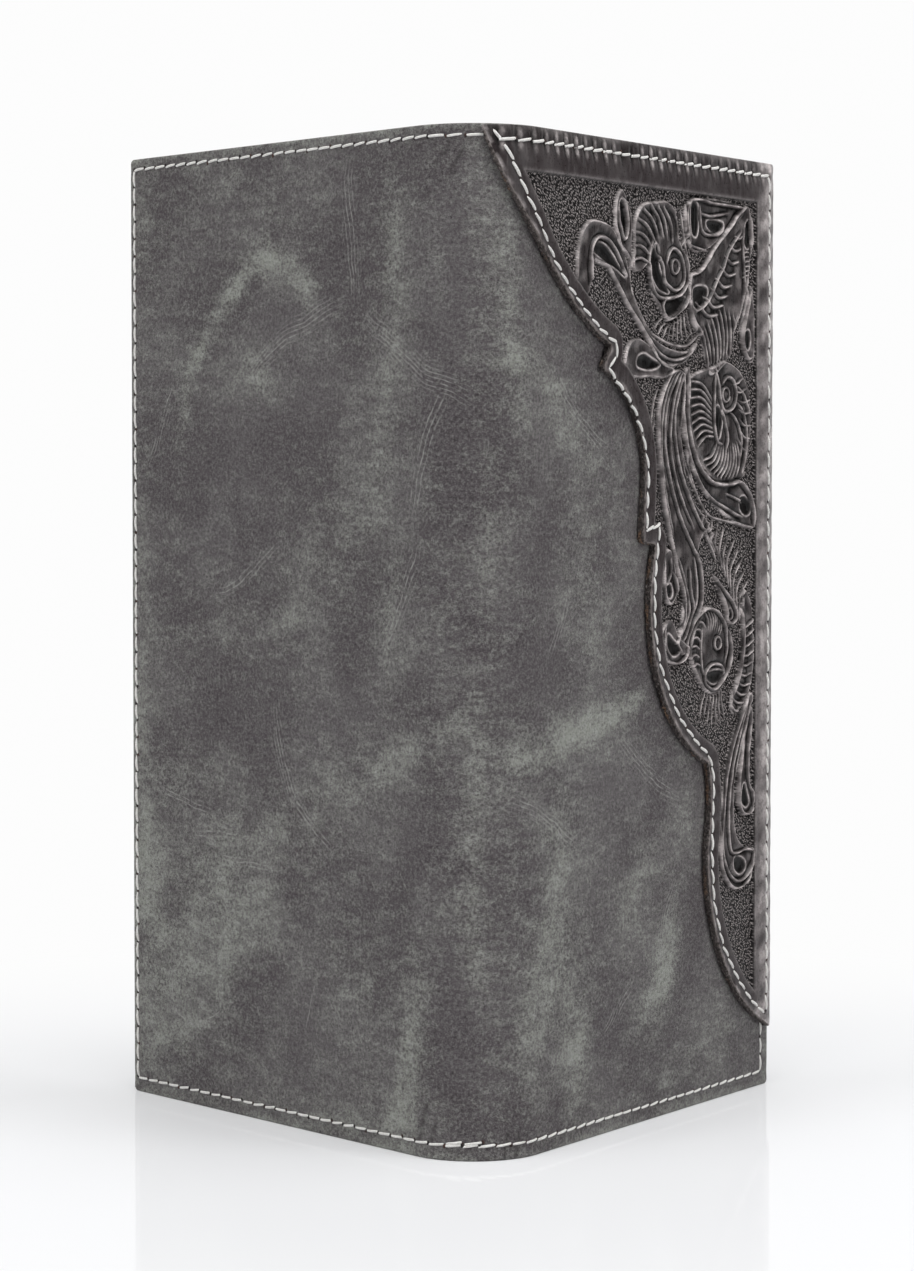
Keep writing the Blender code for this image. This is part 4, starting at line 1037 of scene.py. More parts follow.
# Tooled pattern, as u and z in mm. A raised place is a leaf or petal left standing above the
# ground, and a hollow is pressed into one. Lines are (half width, height, points).
RAISED = (
    ((11.3, 151.6), (11.2, 157), (12.5, 160.5), (15, 162.6), (17.5, 163), (22, 162.3), (25, 160),
     (27.5, 157), (29, 153), (30.5, 149.5), (33, 146.5), (36, 143.8), (40, 142), (45, 141), (50, 141),
     (54, 143.2), (50, 139.6), (46, 138.3), (42, 138.4), (38, 140.5), (35, 143), (30, 147.3),
     (26, 151), (22, 154.8), (17, 156), (15.9, 153), (14.6, 150)),
    ((26, 169), (24.6, 168), (24, 166), (23.8, 163.5), (24.6, 161), (27.6, 157.5), (29.2, 155.2),
     (29.3, 160), (29.4, 163), (29, 165.5), (27.5, 167.8)),
    ((30.2, 155), (30.5, 159), (30.3, 162.5), (31.5, 165.2), (34, 167), (38, 167.5), (42.5, 167.8),
     (45.5, 165), (46.5, 161), (50, 157.5), (50, 154.5), (50.5, 151.5), (49.5, 149.5), (45, 147),
     (42, 146.8), (38, 150), (36, 153), (35.2, 156), (33, 155)),
    ((27.6, 137), (27.7, 140), (29.5, 142.2), (33, 142.6), (36.5, 141.2), (41, 138.4), (45, 137.6),
     (41.5, 135.9), (36, 136), (31, 135.8)),
    ((50.5, 160.4), (50.5, 168.6), (71, 168.6), (63, 163.2), (56, 159.8)),
    ((51, 155), (54, 155.8), (57, 157.8), (63, 162.8), (68.5, 167), (72.4, 169), (73.5, 166),
     (73.6, 160), (72, 154), (68, 147), (66, 141), (58.5, 137), (55, 143.6), (52.5, 146),
     (50.4, 149.5)),
    ((60, 138.5), (64, 139.5), (69, 138), (72.8, 134), (73.8, 127), (72.5, 121), (69.8, 117.2),
     (63, 116.6), (56, 119.5), (52, 124.5), (50.4, 130), (50.6, 136)),
    ((49.2, 137.5), (48.2, 131), (48.6, 126), (50.3, 121.5), (54, 116.5), (59, 113.2), (66, 110),
     (74.7, 108), (75.4, 111), (73.5, 115), (70, 117.2), (63, 116.6), (56, 118.8), (52.4, 123),
     (50.6, 129), (50.6, 136.8)),
    ((43.6, 136.8), (40.6, 133.5), (39, 130), (38.8, 125), (39.8, 119), (42.4, 110.5), (46.5, 100.5),
     (48.6, 95), (47.2, 89), (46, 86.6), (50.2, 85.2), (54, 91), (56, 94), (56, 100), (54, 105),
     (58, 108), (62, 103), (58, 109), (53, 113), (49, 119), (47.4, 126), (48.6, 136.5)),
    ((41.6, 103.4), (41, 99), (41.6, 95.6), (44, 94.6), (46, 96.3), (46.2, 99), (44.8, 102.6),
     (43.4, 104.6)),
    ((41.2, 90), (41.8, 86.4), (45, 83.6), (48.6, 83.9), (51, 86), (47, 88.4), (44, 91.6)),
    ((52.8, 89.6), (56, 93), (60, 93.6), (64, 90.6), (66.9, 87.5), (66.9, 83), (64.4, 79), (60, 77.4),
     (56, 78.6), (52.6, 82.4), (51, 86)),
    ((60.3, 99.4), (64.5, 96.3), (67.4, 94.2), (69, 91.8), (68, 89.8), (65.6, 90.2), (64.2, 93.8),
     (62, 96.4)),
    ((71.4, 96), (74.0, 94), (75.2, 88), (75.0, 81), (73, 76.4), (68, 73), (66.8, 76), (70, 81),
     (71, 87)),
    ((73.8, 76.5), (69.5, 71.4), (66.3, 66), (64.2, 60), (63.2, 53), (62.8, 47.6), (64.4, 42.6),
     (68, 40), (71.4, 39.7), (74.4, 41.6), (76, 46.4), (73, 47.2), (70, 48.6), (68.2, 51.6),
     (67.8, 57), (69.2, 63), (71.6, 69), (75, 75)),
    ((74.6, 74), (72.2, 68), (70.3, 63), (69.5, 58), (70.3, 54.6), (72.4, 53.4), (75, 54), (75.8, 57),
     (73.6, 60), (73.6, 66), (75, 71)),
    ((73.9, 154), (72, 149), (70.8, 146), (70.6, 143), (71.6, 140.8), (73.2, 139.9), (74.8, 140.3),
     (75, 148)),
)

HOLLOWS = (
    ((17.2, 157.3), (17.6, 158.8), (19.5, 159.1), (22, 158), (24.5, 156), (27.5, 153.7), (24, 155),
     (20.5, 155.9)),
    ((25.3, 165.8), (25.5, 164), (26.3, 161.8), (27.3, 160.6), (28.1, 161.7), (28.1, 164),
     (27.3, 166.2), (26.3, 167.2)),
    ((38.4, 160), (37, 158), (37, 155.3), (38, 153.2), (40, 151.8), (43, 151.4), (41.2, 153.5),
     (39.6, 156), (39.6, 158.5)),
    ((41.3, 148.8), (42, 150), (44, 150.5), (47, 150.8), (49, 150.6), (46.5, 148.3), (43.5, 147.2),
     (42, 147.3)),
    ((31.8, 138), (32.3, 139.5), (34.5, 140), (37, 139.2), (39.6, 138.2), (37, 137.4), (34, 137.4)),
    ((51.3, 168), (51.4, 163), (53.2, 162.4), (53.8, 165), (53.4, 168)),
    ((57, 165.2), (57.6, 164), (60, 163.4), (62.4, 164), (63, 165.2), (60, 165.6)),
    ((52, 152.4), (52.2, 149.6), (54, 148.9), (56.6, 150.2), (57.2, 152.6), (55, 153.2)),
    ((71.6, 165), (71.8, 161.6), (73, 161.4), (73.3, 164.6), (73, 166.4)),
    ((61, 131), (60.8, 127), (61.8, 125), (62.9, 127), (63, 130)),
    ((70, 113.6), (70.4, 111.6), (72.4, 110.6), (74.2, 111.4), (73.6, 113.2), (71.6, 114.2)),
    ((58, 81.2), (58, 80), (60, 79.2), (62.6, 79.6), (64, 81.2), (61.2, 81.6)),
    ((43, 89), (43.4, 86), (45.6, 85), (47.4, 86), (45.6, 87.6)),
    ((65.6, 92.4), (66, 91.3), (67, 91.2), (67.2, 92.2), (66.4, 93)),
    ((68.4, 45.2), (68.6, 43.4), (70.6, 42.4), (72.6, 43.2), (72.4, 44.6), (70.2, 45.6)),
    ((72, 145.2), (72.1, 142.8), (73, 142), (73.7, 143), (73.5, 145.4)),
    ((71.2, 57.4), (71.4, 55.8), (72.8, 55), (74, 55.8), (73.4, 57.4), (72.2, 59.4)),
    ((42.3, 97.6), (42.6, 96.2), (43.8, 95.8), (44.6, 96.8), (43.8, 98.2)),
)

LINES = (
    (0.35, 0.3, ((17, 156), (20, 155.4), (22, 154.8), (24, 153), (26, 151), (28, 149), (30, 147.3),
        (33, 144.9), (35, 143), (38, 140.5), (40, 139), (43, 138))),
    (0.4, 0.28, ((29, 153), (31.5, 149.2), (36, 144.6), (40, 143), (45, 142), (50, 142), (54, 143.9),
        (56, 145))),
    (0.35, 0.25, ((33, 144.8), (38, 141.3), (42, 139.7), (46, 139.3), (50, 140.3), (53, 142.4))),
    (0.45, 0.32, ((15.7, 150.5), (15.8, 155), (16.6, 158.6), (19, 160.2), (22.5, 159.6), (25.6, 157),
        (28, 153.6))),
    (0.35, 0.3, ((25.2, 166.5), (25.3, 164), (26.2, 161.5), (27.3, 160.2), (28.2, 161.5), (28.3, 164),
        (27.5, 166.5), (26.2, 167.8))),
    (0.35, 0.25, ((24.4, 161.5), (26, 159), (28.8, 156.6), (29.6, 152))),
    # First swirl
    (0.42, 0.32, ((37.5, 160.6), (36.2, 158.5), (36, 155), (36.8, 152.6), (39, 150.8), (42, 150.3),
        (45.5, 150.6), (48.5, 151.8), (50, 154))),
    (0.38, 0.3, ((38.2, 160.4), (39.2, 158.2), (41, 156.3), (41.6, 153.8), (43.5, 152.6), (46, 152),
        (48.4, 153.2), (48.8, 156), (47.4, 158.6), (45, 159.6), (43.2, 158.6), (42.4, 156.6))),
    (0.4, 0.3, ((43, 167.4), (45.6, 165), (46.2, 161.4))),
    (0.35, 0.28, ((41, 167.2), (43.8, 164), (44.6, 160.6))),
    (0.35, 0.28, ((48, 160), (50, 162.8), (49.6, 166.4))),
    (0.35, 0.28, ((50.6, 157.8), (49, 161), (47.6, 166.8))),
    (0.35, 0.28, ((42.5, 146.3), (45, 146.8), (47, 147.8), (49.5, 150), (50.5, 152))),
    (0.35, 0.28, ((41, 147.4), (41, 149.2), (42.2, 150.6))),
    # Corner leaf and the long diagonal
    (0.38, 0.34, ((51, 155), (54, 155.8), (57, 157.8), (60, 160.5), (63, 162.8), (66, 165),
        (68.5, 167), (71.5, 168.6))),
    (0.3, 0.26, ((50.5, 160.5), (53, 160.2), (56, 159.8), (58.3, 159.8))),
    (0.32, 0.3, ((50.6, 161), (50.5, 168.5), (60, 168.7), (71, 168.6))),
    (0.35, 0.3, ((54.3, 168), (54.6, 165.5), (55.3, 163.6), (57.3, 162.8), (61, 163), (63, 164))),
    (0.35, 0.3, ((55, 166.6), (58, 166.3), (61, 166.6), (65.5, 167.3))),
    (0.35, 0.3, ((53, 148.3), (56.5, 149.7), (58.5, 151.3), (60, 153), (61.5, 154.8), (63.5, 157),
        (65.5, 160), (68.5, 162.7), (70.6, 164.2))),
    (0.35, 0.3, ((50.3, 152), (50.5, 149.5), (51.5, 147.5), (53, 146), (55.5, 144.7))),
    (0.3, 0.3, ((73.2, 168), (73.5, 164), (73.7, 158), (73.8, 157))),
    (0.3, 0.26, ((71.2, 165), (71, 161), (71.6, 155.5), (70.4, 150))),
    (0.35, 0.3, ((73.8, 157.5), (72.5, 153.5), (70.5, 149.5), (68.3, 146.3), (67, 145))),
    (0.3, 0.26, ((73.5, 156), (72.8, 152), (71.3, 148), (69.5, 145))),
    # Second swirl
    (0.4, 0.32, ((60, 138.2), (61.5, 136), (62.3, 133.5), (63.2, 131.2), (65, 130.2), (67.6, 131),
        (68.6, 133.4), (67.6, 136), (65.2, 136.6), (63.4, 135.4))),
    (0.35, 0.28, ((60.6, 137), (60.4, 134), (60.2, 131), (60.3, 127.4), (61.4, 124.6), (63.4, 124))),
    (0.4, 0.3, ((63.2, 130.6), (64.6, 127.6), (65.4, 125), (64.6, 122.8))),
    (0.35, 0.28, ((66.6, 130), (68.8, 128.4), (70.6, 125), (70.2, 121))),
    (0.35, 0.28, ((68.8, 132), (71.4, 130), (72.8, 126), (72, 121.6), (70.6, 118.6))),
    (0.3, 0.26, ((69, 135), (71.6, 133.4), (73.6, 129.6))),
    # Long stems
    (0.42, 0.34, ((50.2, 137), (50, 133), (50, 129), (51, 125), (53, 121.5), (55.5, 119), (59, 117),
        (63, 116.4), (67, 116.5), (69.8, 116.9), (72.5, 115.5), (74.6, 113), (75.3, 110.5),
        (75.2, 108.4))),
    (0.4, 0.32, ((48.4, 134), (48.3, 130), (48.9, 126), (50.3, 122.5), (52.5, 119), (56, 115.5),
        (60, 113.5), (64, 112.3), (68, 111), (71, 110.3))),
    (0.35, 0.3, ((49.5, 123), (51.5, 118.5), (54.5, 114), (58, 111), (62, 110), (66, 109.5),
        (70, 108.8), (74.5, 108.2))),
    (0.3, 0.26, ((64.5, 114.8), (68, 114), (71.5, 113))),
    (0.38, 0.32, ((44, 136.5), (41, 133.5), (39.5, 130), (39.2, 126), (39.6, 121), (41, 115),
        (43, 109), (45.5, 103), (46.8, 100), (48.5, 97), (49.5, 92), (47.5, 89.3), (46.5, 87.5))),
    (0.3, 0.28, ((45.5, 136.8), (42.5, 133), (41, 129), (40.6, 125), (41, 120), (42.6, 113.6),
        (45.2, 106.6))),
    (0.38, 0.32, ((47, 137), (44, 133.5), (42.3, 130), (41.8, 126), (42.6, 121), (44.5, 116),
        (47.3, 111), (50.5, 107), (53.5, 103.5), (55.3, 100), (55.5, 95), (54.3, 92.5), (52.5, 90.5),
        (51, 88), (50, 85.5))),
    (0.3, 0.28, ((47.8, 137), (45.3, 132), (44, 127), (44.2, 122.4), (46, 117.4), (49, 112.6),
        (52.4, 108.6))),
    (0.38, 0.32, ((48.5, 137), (46.8, 133), (45.6, 129.5), (45.5, 126), (46.5, 122), (48.3, 118),
        (51, 114), (54, 110.5), (57.3, 107), (60, 104), (61.5, 102))),
    (0.28, 0.25, ((49, 137), (48.0, 131), (47.6, 127), (48.6, 122.4), (51.4, 117.6), (55, 113.6))),
    (0.35, 0.3, ((47, 103), (49.8, 97.6), (51, 93.6), (49.4, 90.4), (48, 88.4))),
    (0.35, 0.3, ((51, 101.6), (51.6, 97), (52.6, 93.6), (51, 90.6), (49.2, 87.6))),
    (0.3, 0.28, ((52.8, 103), (53.6, 99), (53.8, 95.4), (52.4, 92.2))),
    (0.3, 0.28, ((36.8, 126.5), (37.8, 131), (39.5, 134))),
    (0.3, 0.28, ((36.8, 121), (37.6, 126), (38.6, 129.6))),
    # Lower curl and smooth leaf
    (0.35, 0.3, ((41.8, 103), (41.4, 99), (42.3, 95.5), (44.2, 94.6), (46, 96), (45.8, 98.8),
        (44.6, 100.6))),
    (0.3, 0.28, ((44, 103), (44.3, 100.5), (42.8, 98))),
    (0.35, 0.3, ((42, 90.4), (41.8, 86.6), (43.4, 84.2), (46, 83.5), (48.4, 84), (50.5, 85.5))),
    # Third swirl
    (0.38, 0.3, ((50.5, 85.5), (51, 88), (53, 91), (56, 92.9), (59, 93.2), (62, 92.2), (64.6, 89.4),
        (65.4, 86.2), (64.8, 83.2))),
    (0.38, 0.3, ((66.3, 88), (66.8, 84.5), (65.3, 81), (62.5, 78.8), (60, 78.1), (57.5, 79.1),
        (57, 81), (58.8, 82.4), (61, 82.8), (63.4, 82.4), (64.4, 81.4))),
    (0.3, 0.26, ((56, 89.4), (55.4, 86), (55.8, 82.6), (57, 80.6))),
    (0.35, 0.3, ((60.3, 99.2), (62, 97.8), (64.5, 96), (67, 94.3), (68.5, 92.3), (68.3, 90.8),
        (66.8, 90.2), (65.2, 90.9), (64.9, 92.5), (64, 94.3), (62, 96.6))),
    (0.35, 0.28, ((70.6, 94), (71.6, 88), (70.6, 82), (67.6, 76.4))),
    # Lower stems and drops
    (0.38, 0.32, ((73.5, 76), (70, 71), (67, 66), (65.1, 61), (64.4, 55), (63.8, 50.2), (64.3, 46.5),
        (66.2, 43.2), (69.4, 41.1), (72.8, 41.4), (75.4, 44), (76, 47))),
    (0.35, 0.3, ((73.5, 74.5), (70.5, 69), (68.1, 63.5), (66.6, 57), (66.4, 51), (67.4, 47),
        (69.8, 46.4), (72.6, 46.8), (75.6, 46.4))),
    (0.3, 0.28, ((63, 52), (63.1, 46), (64.8, 42.2), (68, 39.9), (71.2, 39.6), (74, 41.3),
        (75.8, 44))),
    (0.35, 0.3, ((74, 73.5), (72, 68), (70.5, 63), (69.7, 58), (70.5, 55), (72.3, 53.6), (74.5, 53.9),
        (75.7, 55.4), (75.2, 57.6), (73.8, 59.4), (73.2, 62), (73.4, 66), (74.6, 71))),
    (0.28, 0.25, ((74.6, 75), (72.2, 70.4), (70, 65), (68.4, 59), (68.4, 53.4))),
    # Drop at the right of the wing
    (0.32, 0.3, ((73.8, 153), (72.2, 149), (71, 146), (70.8, 143.5), (71.5, 141.5), (73, 140.3),
        (74.5, 140.6))),
)

# Eyes of the swirls: u, z and the radius of the ring round each
EYES = ((45.4, 156.3, 1.3), (64.6, 133.3, 1.35), (61.8, 86.7, 1.2))

# Rows of short strokes, each from one guide line to another: (count, bend, half width, from, to)
FANS = (
    (7, 0.12, 0.34, ((30.4, 155.4), (30.6, 160), (31.8, 165), (35, 167.2), (39.6, 167.6)),
        ((36, 155.6), (36.4, 158.4), (38.2, 160.6), (41, 161.4), (43.4, 160.8))),
    (10, 0.1, 0.3, ((37, 144.6), (42, 142.8), (48, 143), (54.6, 145)), ((41, 147.2), (43.4, 145.6),
        (48, 147.4), (51.4, 149.6))),
    (8, -0.16, 0.36, ((53, 149.4), (57.2, 151.6), (61, 155.2), (65, 160.4), (69, 164)),
        ((60.6, 147.2), (66, 152.8), (69.4, 158.4), (71.4, 164.6))),
    (9, 0.08, 0.3, ((53.4, 145.4), (58, 147), (63, 149.4), (68, 148.6)), ((57, 137.6), (60.4, 138.2),
        (64, 140), (67.4, 141.6))),
    (9, 0.14, 0.34, ((51, 136.4), (50.8, 131), (52, 126.4), (54.4, 122.8)), ((59.4, 132.6),
        (59, 129.8), (59.4, 127), (60.2, 125))),
    (10, -0.14, 0.34, ((55.2, 121.4), (59, 118.4), (64, 117.4), (69.4, 118)), ((61, 124.4),
        (63.6, 123.2), (66, 123.4), (69.4, 124.4))),
    (7, 0.12, 0.3, ((69.6, 137.4), (73, 133.4), (73.8, 127), (72.8, 121.4)), ((67.2, 136),
        (69.4, 132.6), (69.8, 128.4), (68.8, 124.6))),
    (6, 0.1, 0.26, ((71, 155), (71.4, 157), (71.6, 160.6)), ((72.8, 155.6), (73, 157.6),
        (73.1, 160.8))),
    (6, 0.15, 0.3, ((51.8, 81.6), (51.6, 85), (52.6, 88.6), (55, 91.6)), ((55.6, 82), (55, 85),
        (55.8, 88), (57.6, 90.4))),
    (7, 0.1, 0.3, ((56.4, 92.6), (60, 92.6), (63.6, 90)), ((57.8, 89.4), (60.4, 89.4), (63, 88.2))),
    (7, 0.08, 0.28, ((54.6, 73.6), (58, 72), (62, 71.4), (65.4, 72.6)), ((57.2, 78.4), (59.4, 77.2),
        (61.8, 77.4), (64, 79))),
    (10, -0.12, 0.32, ((66, 74), (69.8, 78.6), (71.6, 84), (72, 90)), ((69.4, 72.6), (73.8, 78),
        (75.2, 84.6), (75.4, 92.4))),
    (11, -0.2, 0.34, ((54.6, 112.6), (59.5, 110.2), (66, 107.2), (71, 102.6), (74.2, 97)),
        ((57.4, 107.0), (61.6, 103.4), (65.2, 98.6), (68.4, 93.6), (71.4, 89.6))),
)


def arc_through(start, middle, end, step=0.6):
    """The arc from start to end by way of middle."""
    a, b, c = (complex(*p) for p in (start, middle, end))
    w = (c - a) / (b - a)
    centre = a + (b - a) * (w - abs(w) ** 2) / (2j * w.imag)
    radius = abs(a - centre)
    turns = [math.atan2((p - centre).imag, (p - centre).real) for p in (a, b, c)]
    sweep = (turns[2] - turns[0]) % math.tau
    if (turns[1] - turns[0]) % math.tau > sweep:
        sweep -= math.tau
    count = max(2, math.ceil(abs(sweep) * radius / step))
    angles = turns[0] + sweep * np.arange(count + 1) / count
    return pairs(centre.real + radius * np.cos(angles), centre.imag + radius * np.sin(angles))


def scalloped_edge():
    """The overlay's cut edge from the spine's top to the lower tip, in metres."""
    parts = [arc_through(*SCALLOP_TOP), arc_through(*SCALLOP_UPPER), [SECOND_TIP],
             arc_through(*SCALLOP_MIDDLE), arc_through(*SCALLOP_NECK)[1:],
             arc_through(*SCALLOP_LOWER)[1:]]
    edge = np.concatenate(parts) * MM
    right, top = COVER_WIDTH - OVERLAY_INSET, HEIGHT - OVERLAY_INSET
    kept = edge[(edge[:, 0] < right) & (edge[:, 1] < top)]
    before = edge[edge[:, 1] >= top][-1]
    after = edge[edge[:, 0] >= right][0]
    first = before + (kept[0] - before) * (before[1] - top) / (before[1] - kept[0][1])
    last = kept[-1] + (after - kept[-1]) * (right - kept[-1][0]) / (after[0] - kept[-1][0])
    return np.concatenate([[first], kept, [last]])


def tooled_lines():
    """Every tooled line in mm, with its half width and height."""
    lines = [(spline(line, 0.3), width, tall) for width, tall, line in LINES]
    turn = np.linspace(0, 1.15 * math.tau, 30)
    for cu, cz, radius in EYES:
        ring = pairs(cu + radius * np.cos(turn), cz + radius * np.sin(turn))
        lines.append((ring, *EYE_LINE))
    for count, bend, width, first, last in FANS:
        ends = [resample(spline(line, 0.4), 0.05) for line in (first, last)]
        for k in range(count):
            a, b = (line[round((len(line) - 1) * (k + 0.5) / count)] for line in ends)
            middle = (a + b) / 2 + bend * np.array([a[1] - b[1], b[0] - a[0]])
            lines.append((spline([a, middle, b], 0.3), width, STROKE_RISE))
    return [(line, LINE_SHARPNESS * width, tall) for line, width, tall in lines]


def tooled_loops():
    """The outlines of the raised places and of the hollows, in mm."""
    groups = [[spline(loop, 0.3, closed=True) for loop in loops] for loops in (RAISED, HOLLOWS)]
    return [[loop if turns_left(loop) else loop[::-1] for loop in group] for group in groups]


def guide_points(lines, loops, rim):
    """Points along the tooling, crests first and none crowding them, so that it stays crisp."""
    kept = np.array([(-1.0, -1.0)])
    for share in (0, 1, -1, 2, -2, -3, -4):
        rows = [[offset(loop, RIM_STEP * share) for group in loops for loop in group]]
        if abs(share) < 3:
            rows.insert(0, [offset(line, share * width, closed=False) for line, width, _ in lines])
            rows.append([offset(rim, 1.5 * RIM_STEP * share, closed=False)])
        for points in map(np.concatenate, rows):
            points = points[~near_path(points, kept, GUIDE_GAP / 3)]
            cells = np.round(points / GUIDE_GAP).astype(np.int64)
            first = np.unique(cells[:, 0] + (cells[:, 1] << 20), return_index=True)[1]
            kept = np.concatenate([kept, points[np.sort(first)]])
    return kept[1:] * MM


def carve(points, base, lines, loops):
    """Adds the tooled pattern. Returns heights in mm over the border, and three shares: paleness,
    partly rubbed and partly painted highlight and sheen, the matted ground, and the cuts, which take
    painted shade.
    """
    flat = points / MM
    height, ground = base.copy(), np.ones(len(flat))
    pale, cut, ridge, groove = np.zeros((4, len(flat)))

    def near(line, reach):
        low, high = line.min(axis=0) - reach, line.max(axis=0) + reach
        return np.flatnonzero(((flat > low) & (flat < high)).all(axis=1))

    def within(loop):
        at = near(loop, 1.0)
        gap = distance_to(flat[at], loop, closed=True)[0]
        return at, np.where(inside(flat[at], loop), gap, -gap)

    for loop in loops[0]:
        at, depth = within(loop)
        rise = smooth_step((depth + 0.22) / 0.4)
        dish = LEAF_DISH * smooth_step((depth - 0.15) / 1.1)
        height[at] = np.maximum(height[at], base[at] + rise * (LEAF_RISE - dish))
        height[at] -= 0.18 * bell(depth + 0.42, 0.26)
        ground[at] = np.minimum(ground[at], 1 - rise)
        # Pale rims, partly rubbed finish and partly painted highlight, with a painted sheen over the
        # raised tops.
        rim = np.maximum(bell(depth - 0.09, 0.18), 0.2 * bell(depth - 0.1, 0.5) * rise)
        rim *= np.clip(0.85 + 0.5 * waves(*flat[at].T, 4.5, 33), 0.25, 1.25)
        sheen = 0.17 * rise * np.clip(waves(*flat[at].T, 5.0, 31), 0, 1)
        pale[at] = np.maximum(pale[at], np.maximum(rim, sheen))
        # Painted shade in the bevelled cut just outside each raised place.
        cut[at] = np.maximum(cut[at], 0.95 * bell(depth + 0.42, 0.26))
    for loop in loops[1]:
        at, depth = within(loop)
        height[at] -= HOLLOW_SUNK * smooth_step((depth + 0.1) / 0.6)
        height[at] += 0.14 * bell(depth + 0.25, 0.2)
        # A pale rim round each hollow, partly rubbed and partly painted highlight, and painted shade
        # inside it.
        rim = 0.95 * bell(depth + 0.22, 0.15)
        pale[at] = np.maximum(pale[at] * (1 - smooth_step(depth / 0.2)), rim)
        cut[at] = np.maximum(cut[at], 0.85 * smooth_step(depth / 0.3))
        ground[at] *= 1 - smooth_step((depth + 0.5) / 0.4)

    for line, width, tall in lines:
        at = near(line, 5 * width)
        if len(at):
            gap, along = distance_to(flat[at], line)
            length = np.linalg.norm(np.diff(line, axis=0), axis=1).sum()
            ends = np.clip(np.minimum(along, length - along) / 1.6, 0, 1) ** 0.5
            wide = width * (0.6 + 0.4 * ends)
            ridge[at] = np.maximum(ridge[at], tall * (0.25 + 0.75 * ends) * bell(gap, wide))
            beside = 1.1 * tall * ends * bell(gap - 2.1 * wide, 1.1 * wide)
            groove[at] = np.maximum(groove[at], beside)
            # The pale crest of each line is partly rubbed and partly painted highlight.
            shine = (0.4 + 0.6 * ends) * np.clip(0.95 + 0.4 * waves(*flat[at].T, 4.0, 34), 0.3, 1.2)
            pale[at] = np.maximum(pale[at], shine * bell(gap, 0.75 * wide))
    for cu, cz, _ in EYES:
        middle = np.array([(cu, cz)])
        at = near(middle, 1.2)
        height[at] += EYE_RISE * bell(np.linalg.norm(flat[at] - middle, axis=1), 0.45)
    height += ridge - groove * (1 - np.clip(ridge / 0.2, 0, 1))
    ground *= 1 - smooth_step(ridge / 0.1)
    # Painted shade in the grooves beside the lines, where the paleness is taken out.
    beside = np.clip(groove / 0.26 - ridge / 0.1, 0, 1)
    cut = np.maximum(cut * (1 - np.clip(ridge / 0.1, 0, 1)), beside)
    pale *= 1 - 0.9 * beside
    return height, pale, ground, cut


